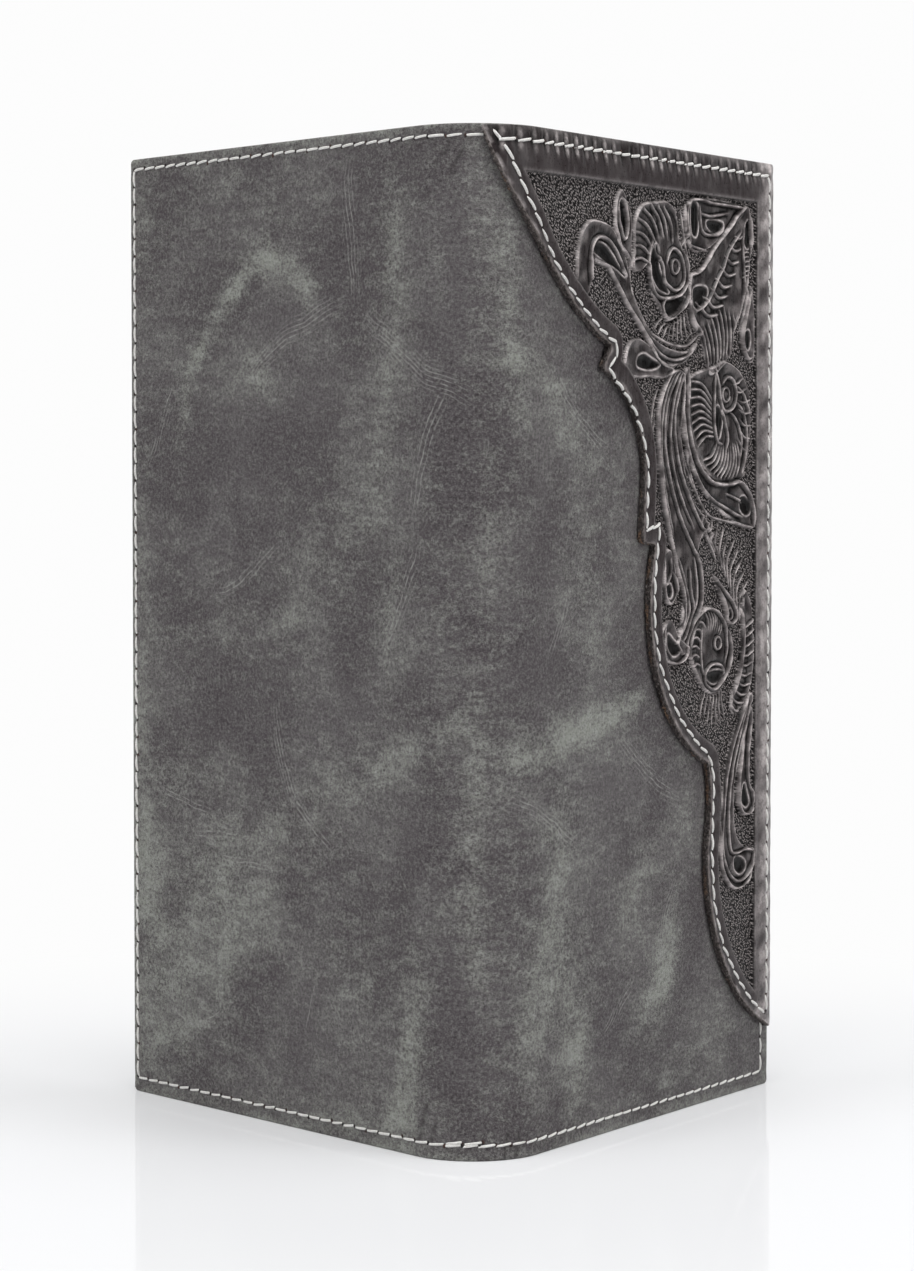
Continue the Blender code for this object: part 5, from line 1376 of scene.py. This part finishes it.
class Overlay:
    """Shape of the overlay's outer face, worked out once for each set of points."""

    def __init__(self):
        self.edge, self.seam = scalloped_edge(), np.array(EDGE_SEAM) * MM
        self.lines, self.loops = tooled_lines(), tooled_loops()
        self.known = {}

    def measure(self, u, z):
        """The relief in mm over the border, how pale each point is, partly rubbed and partly painted
        highlight, glint and reflection, how matted, and how dark with painted shade in the cuts and
        stitch holes.
        """
        key = (len(u), float(u[0]), float(z[-1]))
        if key in self.known:
            return self.known[key]
        points = pairs(u, z)
        from_edge = distance_to(points, self.edge)[0]
        field = np.minimum(np.minimum(from_edge - FIELD_INSET, FIELD_TOP - z), FIELD_RIGHT - u)
        b = field / MM
        within = smooth_step((b + 0.1) / 0.5)
        height, pale, ground, cut = carve(points, -FIELD_SUNK * within, self.lines, self.loops)
        # A painted highlight on the raised edge of the field, and painted shade in the groove just
        # inside it.
        height = height * within + 0.12 * bell(b + 0.4, 0.3) - 0.25 * bell(b - 0.15, 0.3)
        pale = pale * within + 0.22 * bell(b + 0.3, 0.22)
        ground = ground * within
        cut = cut * within + 0.95 * bell(b - 0.15, 0.32)
        grain = waves(u, z, 0.75 * MM, 21, 9) * waves(u, z, 0.62 * MM, 22, 9)
        height += 0.07 * ground * grain
        height += 0.03 * waves(u, z, 9 * MM, 23) - 0.03 * waves(u, z, 3 * MM, 24)
        # The skived top and free edges, drawn down by their seams
        top, side = (HEIGHT - z) / MM, (COVER_WIDTH - u) / MM
        round_top = 1 - (1 - np.clip(top / TOP_SKIVE[0], 0, 1)) ** 2
        rolled = TOP_SKIVE[1] * (1 - np.sqrt(np.clip(round_top, 0, 1)))
        height -= np.maximum(rolled, SIDE_SKIVE[1] * (1 - smooth_step(side / SIDE_SKIVE[0])))
        start = OVERLAY_SEAM_START - HALF_ARC
        length = COVER_WIDTH - FRONT_EDGE_SEAM - start
        turn = math.tau * (u - start) / length * round(length / STITCH_PITCH)
        uneven = 0.7 + 0.5 * waves(u, z * 0, 6 * MM, 25)
        from_seam = top - OVERLAY_TOP_SEAM / MM
        drawn = bell(from_seam, 1.9) * (b < 1)
        # Painted shade at the stitch holes along the top border, and a painted glint beside each,
        # where the leather is also drawn into small pleats.
        hole = np.clip(np.cos(turn), 0, 1) ** 2 * drawn
        glint = np.clip(np.cos(turn - 1.4), 0, 1) ** 4 * uneven * (b < 1)
        height += 0.2 * (glint * drawn - hole)
        cut += 0.85 * hole
        pale += 0.7 * glint * bell(abs(from_seam) - 1.1, 0.75)
        # A painted reflection along the rolled top edge.
        pale += 0.2 * bell(top, 0.9) * (0.8 + 0.6 * waves(u, z, 14 * MM, 28))
        pale += 0.36 * smooth_step((9 - side) / 4) * (b < 0) * (1 + 0.6 * waves(u, z, 6 * MM, 27))
        height -= 0.16 * bell(from_seam, 0.8) + 0.12 * bell(side - SIDE_GROOVE, 0.7)
        seam = distance_to(points, self.seam)[0] / MM
        height -= 0.13 * bell(seam, 0.65) * (b < 0.5)
        pale += 0.5 * bell(from_edge / MM - 0.3, 0.35) * (0.6 + 0.5 * waves(u, z, 3 * MM, 26))
        shares = {"height": 1 + height / 0.75, "paleness": pale, "ground": ground, "cut": cut}
        shares = {label: np.clip(share, 0, 1) for label, share in shares.items()}
        self.known[key] = {"relief": height, **shares}
        return self.known[key]

    def field_rim(self):
        """The sunk field's rim in mm, along the border's inner edge."""
        low, high = np.array([-12.0, 0.0]), np.array([FIELD_RIGHT, FIELD_TOP]) / MM
        edge = offset(resample(self.edge / MM, 0.5), FIELD_INSET / MM, closed=False)
        edge = edge[((edge > low) & (edge < high)).all(axis=1)]
        return resample(np.concatenate([edge, [(high[0], edge[-1, 1]), high,
                                               (edge[0, 0], high[1])]]), 0.3)

    def share(self, label):
        return lambda u, z: self.measure(u, z)[label]

    def depth(self, u, z):
        """Depth of the outer face, which stands out of the leather."""
        return -OVERLAY_LIFT - OVERLAY_THICKNESS - self.measure(u, z)["relief"] * MM


def build_overlay(leather, cut):
    shape = Overlay()
    corner = np.array([(COVER_WIDTH - OVERLAY_INSET, HEIGHT - OVERLAY_INSET)])
    loop = blunted(subdivide(np.concatenate([shape.edge, corner]), 0.55 * MM), 3)

    def in_field(points):
        gap = distance_to(points, shape.edge)[0]
        edge = np.array([FIELD_RIGHT, FIELD_TOP]) + FIELD_MARGIN
        return (gap > FIELD_INSET - MM) & (points < edge).all(axis=1)

    def raw(u, z):
        return (u < corner[0, 0] - MM) & (z < corner[0, 1] - MM)

    def points(edges):
        wide, fine = filling(edges, BORDER_SPACING), filling(edges, FIELD_SPACING)
        guides = guide_points(shape.lines, shape.loops, shape.field_rim())
        guides = guides[in_field(guides) & inside(guides, offset(edges[0], 0.5 * BORDER_SPACING))]
        fine = fine[in_field(fine) & ~near_path(fine, guides, 0.5 * FIELD_SPACING)]
        return np.concatenate([guides, fine, wide[~in_field(wide)]])

    piece = sheet("tooled_overlay_leather", loop, front, shape.depth,
                  lambda u, z: u * 0 - OVERLAY_LIFT, BORDER_SPACING, [leather, cut],
                  radius=0.28 * MM, rim=2, wall=3, frayed=0.2 * MM, raw=raw, points=points,
                  values={label: shape.share(label) for label in ("height", "paleness", "ground", "cut")})
    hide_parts("tooled_overlay", "tooled_overlay_spine_end")
    bend_over_fold(piece, 2)
    return shape


# Stitches

def grow(name, tree, sizes, points, along, away):
    """Runs the tree on the points, each with its own directions, and keeps the plain mesh."""
    mesh = bpy.data.meshes.new(name)
    mesh.from_pydata(np.asarray(points).tolist(), [], [])
    for label, vectors in (("along", along), ("away", away)):
        attribute = mesh.attributes.new(label, "FLOAT_VECTOR", "POINT")
        attribute.data.foreach_set("vector", np.asarray(vectors, np.float32).ravel())
    piece = link(bpy.data.objects.new(name, mesh))
    modifier = piece.modifiers.new("row", "NODES")
    modifier.node_group = tree
    for item in tree.interface.items_tree:
        if item.in_out == "INPUT" and item.name in sizes:
            modifier[item.identifier] = sizes[item.name]
    bpy.context.view_layer.update()
    evaluated = piece.evaluated_get(bpy.context.evaluated_depsgraph_get())
    plain = bpy.data.meshes.new_from_object(evaluated)
    piece.modifiers.clear()
    piece.data = plain
    return piece


class Tree(Nodes):
    """A geometry tree with named sizes and short ways to add to it."""

    def __init__(self, name, *sizes, kind="Float"):
        super().__init__(bpy.data.node_groups.new(name, "GeometryNodeTree"))
        self.socket("Geometry", "INPUT", "Geometry")
        for label in sizes:
            self.socket(label, "INPUT", kind)
        self.socket("Geometry", "OUTPUT", "Geometry")
        self.start, self.end = self.add("NodeGroupInput"), self.add("NodeGroupOutput")

    def socket(self, label, side, kind):
        self.tree.interface.new_socket(label, in_out=side, socket_type=f"NodeSocket{kind}")

    def vector(self, x, y, z):
        return self.add("ShaderNodeCombineXYZ", {"X": x, "Y": y, "Z": z}).outputs[0]

    def named(self, name):
        return self.add("GeometryNodeInputNamedAttribute", {"Name": name},
                        data_type="FLOAT_VECTOR").outputs["Attribute"]

    def instances(self, instance, seed, tilt):
        """The shape at each point, along its row and standing away from the leather."""
        turned = self.add("FunctionNodeAxesToRotation",
                          {"Primary Axis": self.named("away"), "Secondary Axis": self.named("along")},
                          primary_axis="Z", secondary_axis="X").outputs["Rotation"]
        spin = self.add("FunctionNodeRandomValue",
                        {"Seed": seed, 0: tuple(-angle for angle in tilt), 1: tilt},
                        data_type="FLOAT_VECTOR")
        turned = self.add("FunctionNodeRotateRotation",
                          {"Rotation": turned, "Rotate By": spin.outputs[0]},
                          rotation_space="LOCAL").outputs["Rotation"]
        size = self.add("FunctionNodeRandomValue", {"Seed": seed + 1, 2: 0.92, 3: 1.06},
                        data_type="FLOAT")
        return self.add("GeometryNodeInstanceOnPoints",
                        {"Points": self.start.outputs["Geometry"], "Instance": instance,
                         "Rotation": turned, "Scale": size.outputs[1]}).outputs["Instances"]

    def finish(self, parts):
        """Realizes the (geometry, material) parts together as the tree's result."""
        joined = self.add("GeometryNodeJoinGeometry")
        for geometry, material in parts:
            real = self.add("GeometryNodeRealizeInstances", {"Geometry": geometry})
            smooth = self.add("GeometryNodeSetShadeSmooth", {"Geometry": real.outputs[0]})
            dressed = self.add("GeometryNodeSetMaterial",
                               {"Geometry": smooth.outputs[0], "Material": material})
            self.put(joined, 0, dressed.outputs[0])
        self.put(self.end, 0, joined.outputs[0])
        return self.tree


def stitch_tree(thread, hole):
    """One slanted stitch for each point, and at its end a dark flattened piece that paints the needle
    hole's shade.
    """
    made = Tree("stitch_row", "Length", "Thickness", "Slant")
    length, thick, slant = (made.start.outputs[label] for label in ("Length", "Thickness", "Slant"))
    sunk = made.times(thick, -0.42)
    arch = made.add("GeometryNodeCurveQuadraticBezier",
                    {"Start": made.vector(made.times(length, -0.5), made.times(slant, -1.0), sunk),
                     "Middle": made.vector(made.times(length, 0.06), 0.0, made.times(thick, 0.8)),
                     "End": made.vector(made.times(length, 0.5), slant, sunk), "Resolution": 7})
    share = made.add("GeometryNodeSplineParameter").outputs["Factor"]
    swell = made.times(made.times(share, made.math("SUBTRACT", 1.0, share)), 4.0)
    swell = made.times(made.math("POWER", swell, 0.6), 0.55)
    swell = made.math("ADD", swell, made.times(share, 0.12))
    swollen = made.add("GeometryNodeSetCurveRadius",
                       {"Curve": arch.outputs[0], "Radius": made.math("ADD", swell, 0.4)})
    ring = made.add("GeometryNodeCurvePrimitiveCircle",
                    {"Resolution": 7, "Radius": made.times(thick, 0.5)})
    tube = made.add("GeometryNodeCurveToMesh",
                    {"Curve": swollen.outputs[0], "Profile Curve": ring.outputs[0],
                     "Fill Caps": True}).outputs[0]
    dent = made.add("GeometryNodeMeshUVSphere", {"Segments": 8, "Rings": 4, "Radius": HOLE_RADIUS})
    at_end = made.vector(made.times(length, 0.55), made.times(slant, 0.5), made.times(thick, -0.1))
    dent = made.add("GeometryNodeTransform",
                    {"Geometry": dent.outputs[0], "Translation": at_end,
                     "Scale": (0.8, 1.0, 0.3)}).outputs[0]
    parts = [(made.instances(tube, 3, (0.03, 0.05, 0.07)), thread),
             (made.instances(dent, 8, (0.0, 0.0, 0.2)), hole)]
    return made.finish(parts)


class Seams:
    """Rows of stitches, gathered for each stretch of the wallet."""

    def __init__(self, thread, hole):
        self.tree = stitch_tree(thread, hole)
        self.rows = {}

    def sew(self, group, path, depth, inner=False):
        """A row along the flat path (s, z) at the depth that a function gives."""
        points = resample(path, STITCH_PITCH)
        s, z = ((points[:-1] + points[1:]) / 2).T
        ahead = points[1:] - points[:-1]
        ahead *= 0.2 * MM / np.linalg.norm(ahead, axis=1, keepdims=True)
        d = depth(s, z)
        along = skin(s + ahead[:, 0], z + ahead[:, 1], d) - skin(s - ahead[:, 0], z - ahead[:, 1], d)
        away = outward(s) * (-1 if inner else 1)
        self.rows.setdefault(group, []).append((skin(s, z, d), along / (0.4 * MM), away))

    def run(self, group, corners, depth, inner=False):
        """Straight rows from corner to corner."""
        for ends in zip(corners, corners[1:]):
            self.sew(group, ends, depth, inner)

    def make(self, group, name, thickness=STITCH_THICKNESS, slant=STITCH_SLANT):
        points, along, away = (np.concatenate(part) for part in zip(*self.rows[group]))
        sizes = {"Length": STITCH_LENGTH, "Thickness": thickness, "Slant": slant}
        return grow(name, self.tree, sizes, points, along, away)


def build_outer_seams(seams, overlay):
    far, near, cut = BACK_EDGE_SEAM - FREE_EDGE, FREE_EDGE - FRONT_EDGE_SEAM, SEAM_OF_SKINS
    top, bottom = HEIGHT - TOP_SEAM, BOTTOM_SEAM
    again = bottom + BACKSTITCH_GAP
    rows = (
        ("outer_back", (-cut, top), (far, top), (far, bottom), (-cut, bottom)),
        ("outer_spine", (TOP_SEAM_START, top), (-cut, top)),
        ("outer_spine", (-cut, bottom), (cut, bottom)),
        ("outer_spine", (-cut, again), (BACKSTITCH_END, again)),
        ("outer_front", (cut, bottom), (near, bottom), (near, FRONT_SEAM_END)),
    )
    for group, *corners in rows:
        seams.run(group, corners, leather_depth)
    nodes = {
        "back": ["back_perimeter_thread"],
        "spine": ["spine_top_thread_back", "spine_top_thread_front", "spine_bottom_thread_back",
                  "spine_bottom_thread_front"],
        "front": ["front_bottom_thread"],
    }
    for number, (word, replaced) in enumerate(nodes.items()):
        piece = seams.make(f"outer_{word}", f"perimeter_stitches_{word}")
        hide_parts(*replaced)
        bend_over_fold(piece, number)

    def depth(s, z):
        return overlay.depth(s - HALF_ARC, z)

    border = HEIGHT - OVERLAY_TOP_SEAM
    seams.run("overlay", [(OVERLAY_SEAM_START, border), (near, border), (near, OVERLAY_SEAM_END)],
              depth)
    corners = overlay.seam + np.array([HALF_ARC, 0])
    turns = (0, *SEAM_TURNS, len(corners) - 1)
    for first, last in zip(turns, turns[1:]):
        seams.sew("overlay", corners[first:last + 1], depth)
    piece = seams.make("overlay", "overlay_stitches", OVERLAY_STITCH_THICKNESS,
                       OVERLAY_STITCH_SLANT)
    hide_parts("overlay_border_thread", "overlay_edge_thread", "overlay_spine_thread")
    bend_over_fold(piece, 2)


# Inside

def flat_extent(node, side):
    """Lowest and highest u, z and depth of a node that lies on a cover."""
    mesh = frame["nodes"][node].data
    points = np.empty(len(mesh.vertices) * 3)
    mesh.vertices.foreach_get("co", points)
    points = points.reshape(-1, 3)
    ahead = np.array([side * math.cos(HALF_ANGLE), math.sin(HALF_ANGLE), 0])
    from_centre = points - np.array([CENTRE.x, CENTRE.y, 0])
    depth = OUTER_RADIUS - from_centre @ outward(side * (HALF_ARC + MM))
    return [(float(v.min()), float(v.max())) for v in (from_centre @ ahead, points[:, 2], depth)]


class Layer:
    """A flat layer inside a cover. Its sewn edges are drawn down towards the leather."""

    def __init__(self, node, side, number=0, half=0, holes=(), sewn=True):
        self.node, self.side, self.number, self.holes, self.sewn = node, side, number, holes, sewn
        self.u, self.z, (self.hidden_depth, self.shown_depth) = flat_extent(node, side)
        if half:
            low, high = SEWN_INSET, HEIGHT / 2 - COLUMN_GAP
            self.u = (self.u[0], COVER_WIDTH - SEWN_INSET)
            self.z = (low, high) if half < 0 else (HEIGHT - high, HEIGHT - low)

    def lowered(self, u, z):
        """How far the layer is drawn down at its sewn edges."""
        if not self.sewn:
            return 0 * u
        from_edge = np.minimum(np.minimum(z, HEIGHT - z), COVER_WIDTH - u) - SEWN_INSET
        draw = PANEL_DRAW[self.side] * (1 - smooth_step(from_edge / DRAWN_WIDTH))
        between = np.minimum(from_edge, abs(z - HEIGHT / 2))
        squeeze = self.number * LAYER_SQUEEZE * (1 - smooth_step(between / (3 * MM)))
        return draw + squeeze

    def shown(self, u, z):
        return self.shown_depth - self.lowered(u, z)

    def hidden(self, u, z):
        return self.hidden_depth - self.lowered(u, z)

    def covers(self, u, z):
        result = (u >= self.u[0]) & (u <= self.u[1]) & (z >= self.z[0]) & (z <= self.z[1])
        for hole in self.holes:
            result &= ~inside(pairs(u, z), hole)
        return result

    def build(self, material, slot, radius, corner=2.0 * MM, spacing=LAYER_SPACING):
        """The finished sheet. If it is sewn, a creased line runs beside its open edge."""
        loop = subdivide(rounded_loop((self.u[0], self.z[0]), (self.u[1], self.z[1]), corner, 5),
                         spacing)
        seed = sum(map(ord, self.node))
        open_edge = self.u[0]

        def shown(u, z):
            wave = 0.05 * MM * waves(u, z, 22 * MM, seed)
            line = 0.09 * MM * bell(u - open_edge - 1.7 * MM, 0.3 * MM) * self.sewn
            return self.shown(u, z) + wave - line

        def worn(u, z):
            edge = bell(u - open_edge, 0.8 * MM)
            return np.clip(edge * (0.6 + 0.4 * waves(u, z, 9 * MM, seed + 1)), 0, 1)

        piece = sheet(f"{self.node}_sheet", loop, front if self.side > 0 else back, shown,
                      self.hidden, spacing, [material], holes=self.holes, radius=radius,
                      values={"paleness": worn})
        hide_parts(self.node)
        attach(piece, "front_cover" if self.side > 0 else "back_cover")


def sew_inside(seams, group, side, layers):
    """The perimeter seam as it shows inside a cover, and both seams between the columns."""

    def at(s, z):
        u = abs(s) - HALF_ARC
        depth = np.zeros(len(u))
        for layer in layers:
            depth = np.maximum(depth, np.where(layer.covers(u, z), layer.shown(u, z), 0))
        return depth

    def row(*corners):
        seams.run(group, [(side * (HALF_ARC + u), z) for u, z in corners], at, inner=True)

    near, far = layers[0].u[0] + MM, COVER_WIDTH - FRONT_EDGE_SEAM
    row((near, HEIGHT - BOTTOM_SEAM), (far, HEIGHT - BOTTOM_SEAM), (far, BOTTOM_SEAM),
        (near, BOTTOM_SEAM))
    for z in (HEIGHT / 2 - COLUMN_SEAM, HEIGHT / 2 + COLUMN_SEAM):
        row((POCKET_FIRST + COLUMN_SEAM_INSET, z), (far - COLUMN_SEAM_INSET, z))
    return row


def build_lining(fabric):
    start, end = flat_extent("back_lining", -1)[2]
    nodes = (("back_lining",), ("spine_lining_back", "spine_lining_front"), ("front_lining",))
    wrap("lining_fabric", nodes, LINING_INSET,
         lambda s, z: end + 0.04 * MM * waves(s, z, 14 * MM, 61), lambda s, z: s * 0 + start,
         1.2 * MM, fabric, radius=0.15 * MM, rim=1)


def build_front_inside(leather, seams):
    layers = [Layer("front_inner_panel", 1)]
    for row, half in (("lower", -1), ("upper", 1)):
        layers += [Layer(f"front_card_pocket_{row}_{k}", 1, k, half) for k in range(1, 5)]
    for layer in layers:
        layer.build(leather, "inner_leather", 0.25 * MM)
    sew_inside(seams, "front_inside", 1, layers)
    piece = seams.make("front_inside", "front_inner_stitches")
    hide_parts("front_pocket_thread")
    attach(piece, "front_cover")


def opening(thread, hem, radius, steps):
    """Corners of the seam round an opening inside the back cover, and the opening itself."""
    (u0, u1), (z0, z1), _ = flat_extent(thread, -1)
    hole = rounded_loop((u0 + hem, z0 + hem), (u1 - hem, z1 - hem), radius, steps)
    seam = [(u0, z0), (u0, z1), (u1, z1), (u1, z0), (u0, z0)]
    return seam, subdivide(hole, LAYER_SPACING)


def build_back_inside(leather, fabric, clear, seams):
    zip_seam, zip_hole = opening("zip_seam_thread", ZIP_HEM, ZIP_CORNER, 4)
    window_seam, window = opening("id_window_thread", WINDOW_HEM, WINDOW_CORNER, 6)
    bag = Layer("zip_pocket_bag", -1, sewn=False)
    bag.build(fabric, "lining_fabric", 0.15 * MM, spacing=HIDDEN_SPACING)
    film = Layer("id_window_sheet", -1, sewn=False)
    film.build(clear, "clear_sheet", 0.1 * MM, spacing=HIDDEN_SPACING)
    layers = [Layer("back_inner_panel", -1, holes=[zip_hole])]
    layers += [Layer(f"back_card_pocket_{k}", -1, k, -1) for k in range(1, 4)]
    layers.append(Layer("id_window_frame", -1, 1, 1, holes=[window]))
    for layer in layers:
        layer.build(leather, "inner_leather", 0.25 * MM)
    row = sew_inside(seams, "back_inside", -1, layers)
    row(*zip_seam)
    row(*window_seam)
    piece = seams.make("back_inside", "back_inner_stitches")
    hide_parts("back_pocket_thread", "zip_seam_thread", "id_window_thread")
    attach(piece, "back_cover")


# Zip

def soften(node, body, material, width):
    """Puts in a copy of a metal piece with its edges rounded."""
    mesh = frame["nodes"][node].data.copy()
    bm = bmesh.new()
    bm.from_mesh(mesh)
    bmesh.ops.remove_doubles(bm, verts=bm.verts, dist=1e-6)
    bmesh.ops.dissolve_limit(bm, angle_limit=math.radians(2), verts=bm.verts, edges=bm.edges)
    edges = [e for e in bm.edges if e.is_manifold and e.calc_face_angle(0) > math.radians(28)]
    bmesh.ops.bevel(bm, geom=edges, offset=width, offset_type="OFFSET", segments=2,
                    profile=0.5, affect="EDGES", clamp_overlap=True)
    bmesh.ops.triangulate(bm, faces=bm.faces)
    bmesh.ops.recalc_face_normals(bm, faces=bm.faces)
    bm.to_mesh(mesh)
    bm.free()
    mesh.materials.clear()
    mesh.materials.append(material)
    mesh.polygons.foreach_set("material_index", np.zeros(len(mesh.polygons), np.int32))
    mesh.shade_smooth()
    mesh.set_sharp_from_angle(angle=math.radians(40))
    piece = link(bpy.data.objects.new(f"{node}_metal", mesh))
    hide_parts(node)
    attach(piece, body)


def tooth_shape(width, length, thickness, nose):
    """One zip tooth: a clamped foot, a neck and a nose with a dimple behind it."""
    outline = [(-width, -0.5), (-width * 0.5, -0.5), (-width * 0.3, -0.36), (nose * 0.3, -0.36),
               (nose * 0.55, -0.46), (nose, -0.3), (nose, 0.3), (nose * 0.55, 0.46),
               (nose * 0.3, 0.36), (-width * 0.3, 0.36), (-width * 0.5, 0.5), (-width, 0.5)]
    bm = bmesh.new()
    ring = [bm.verts.new((x, y * length, -thickness / 2)) for x, y in outline]
    base = bm.faces.new(ring)
    lifted = bmesh.ops.extrude_face_region(bm, geom=[base])["geom"]
    for vert in (v for v in lifted if isinstance(v, bmesh.types.BMVert)):
        vert.co.z = thickness / 2
    bmesh.ops.recalc_face_normals(bm, faces=bm.faces)
    rims = [e for e in bm.edges if abs(e.verts[0].co.z - e.verts[1].co.z) < 1e-9]
    bmesh.ops.bevel(bm, geom=rims, offset=0.12 * MM, segments=1, affect="EDGES")
    mesh = bpy.data.meshes.new("tooth")
    bm.to_mesh(mesh)
    bm.free()
    return link(bpy.data.objects.new("tooth", mesh))


def teeth_tree(metal):
    """A tooth at each point, its nose along the point's own direction."""
    made = Tree("zip_teeth", "Tooth", kind="Object")
    shape = made.add("GeometryNodeObjectInfo", {"Object": made.start.outputs["Tooth"]})
    return made.finish([(made.instances(shape.outputs["Geometry"], 5, (0.01, 0.01, 0.01)), metal)])


def build_zip(fabric, metal):
    for word in ("edge", "fold"):
        tape = Layer(f"zip_tape_{word}_side", -1, sewn=False)
        tape.build(fabric, "zip_tape", 0.12 * MM, corner=0.3 * MM, spacing=0.8 * MM)
    (near, far), (z0, z1), (d0, d1) = flat_extent("zip_teeth_edge_side", -1)
    (inner, _), _, _ = flat_extent("zip_teeth_fold_side", -1)
    middle = (inner + far) / 2
    tooth = tooth_shape(far - near, TOOTH_PITCH * 0.5, d1 - d0, near - middle + TOOTH_REACH)
    tree = teeth_tree(metal)
    for word, sign, shift in (("edge", -1, 0.0), ("fold", 1, 0.5)):
        z = np.arange(z0 + TOOTH_PITCH * (0.5 + shift), z1 - TOOTH_PITCH * 0.4, TOOTH_PITCH)
        u = np.full(len(z), middle - sign * (near - middle))
        points = back(u, z, (d0 + d1) / 2)
        towards = back(u + sign * MM, z, 0) - back(u, z, 0)
        away = np.tile(-outward(-HALF_ARC - MM), (len(z), 1))
        piece = grow(f"zip_teeth_{word}_row", tree, {"Tooth": tooth}, points, towards, away)
        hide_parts(f"zip_teeth_{word}_side")
        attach(piece, "back_cover")
    bpy.data.objects.remove(tooth)
    for node, body, width in ZIP_METAL:
        soften(node, body, metal, width)


# Camera, lights and stage

def build_stage():
    """A table that ends behind the wallet, and a bright backdrop with a dimmer room before it."""
    mesh = bpy.data.meshes.new("floor")
    back_edge = CENTRE.y + TABLE_BEHIND
    mesh.from_pydata([(-TABLE_REACH, -TABLE_REACH, 0), (TABLE_REACH, -TABLE_REACH, 0),
                      (TABLE_REACH, back_edge, 0), (-TABLE_REACH, back_edge, 0)],
                     [], [(0, 1, 2, 3)])
    mesh.materials.append(pale_floor())
    link(bpy.data.objects.new("floor", mesh))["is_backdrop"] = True

    world = bpy.data.worlds.new("studio")
    bpy.context.scene.world = world
    world.use_nodes = True
    made = Nodes(world.node_tree)

    def between(value, low, high, start=0.0, end=1.0):
        return made.add("ShaderNodeMapRange", {"Value": value, "From Min": start, "From Max": end,
                                               "To Min": low, "To Max": high}).outputs[0]

    rays = made.add("ShaderNodeLightPath").outputs
    place = made.add("ShaderNodeTexCoord").outputs["Generated"]
    way = made.add("ShaderNodeSeparateXYZ", {0: place}).outputs
    mirrored = between(way["Y"], ROOM_GLOSS, BACKDROP_LIGHT, *BACKDROP_FADE)
    straight = made.math("MAXIMUM", rays["Is Camera Ray"], rays["Is Transmission Ray"])
    plain = between(straight, ROOM_LIGHT, BACKDROP_LIGHT)
    background = made.tree.nodes["Background"]
    made.put(background, "Strength", between(rays["Is Glossy Ray"], plain, mirrored))
    made.put(background, "Color", (1, 1, 1, 1))


def build_lights():
    """Soft lamps, turned towards the middle of the wallet."""
    for name, place, size, power in LAMPS:
        lamp = bpy.data.lights.new(name, "AREA")
        lamp.shape = "RECTANGLE"
        lamp.size, lamp.size_y = size
        lamp.energy = power
        obj = link(bpy.data.objects.new(name, lamp))
        obj.location = place
        facing = Vector((0, 0, HEIGHT / 2)) - Vector(place)
        obj.rotation_euler = facing.to_track_quat("-Z", "Y").to_euler()


def build_camera():
    data = bpy.data.cameras.new("camera")
    data.lens = FOCAL_PIXELS / PHOTO_HEIGHT * SENSOR
    data.sensor_width = SENSOR
    camera = link(bpy.data.objects.new("camera", data))
    ahead = Vector((-math.sin(CAMERA_AZIMUTH), math.cos(CAMERA_AZIMUTH), 0))
    camera.location = CENTRE - ahead * CAMERA_DISTANCE + Vector((0, 0, CAMERA_HEIGHT))
    camera.rotation_euler = (math.pi / 2 - CAMERA_PITCH, 0, CAMERA_AZIMUTH + CAMERA_TURN)
    data.clip_start = 0.01
    bpy.context.scene.camera = camera
    bpy.context.scene.view_settings.view_transform = "Standard"


def write_sizes():
    bpy.context.view_layer.update()
    boxes = {"cad": CAD_BOX, "visual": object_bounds()}
    plain = {key: [list(corner) for corner in box] for key, box in boxes.items()}


build_leather(grey_leather())
overlay = build_overlay(tooled_leather(), raw_edge())
seams = Seams(waxed_thread(), needle_hole())
build_outer_seams(seams, overlay)
inner_leather = plain_leather("inner_leather", (0.028, 0.021, 0.019), (0.05, 0.038, 0.033))
lining = twill("lining_twill", (0.012, 0.011, 0.012), (0.035, 0.032, 0.033))
tape = twill("zip_tape_weave", (0.008, 0.008, 0.009), (0.03, 0.03, 0.031), 0.3 * MM)
build_lining(lining)
build_front_inside(inner_leather, seams)
build_back_inside(inner_leather, lining, clear_sheet(), seams)
build_zip(tape, nickel())
build_stage()
build_lights()
build_camera()
write_sizes()
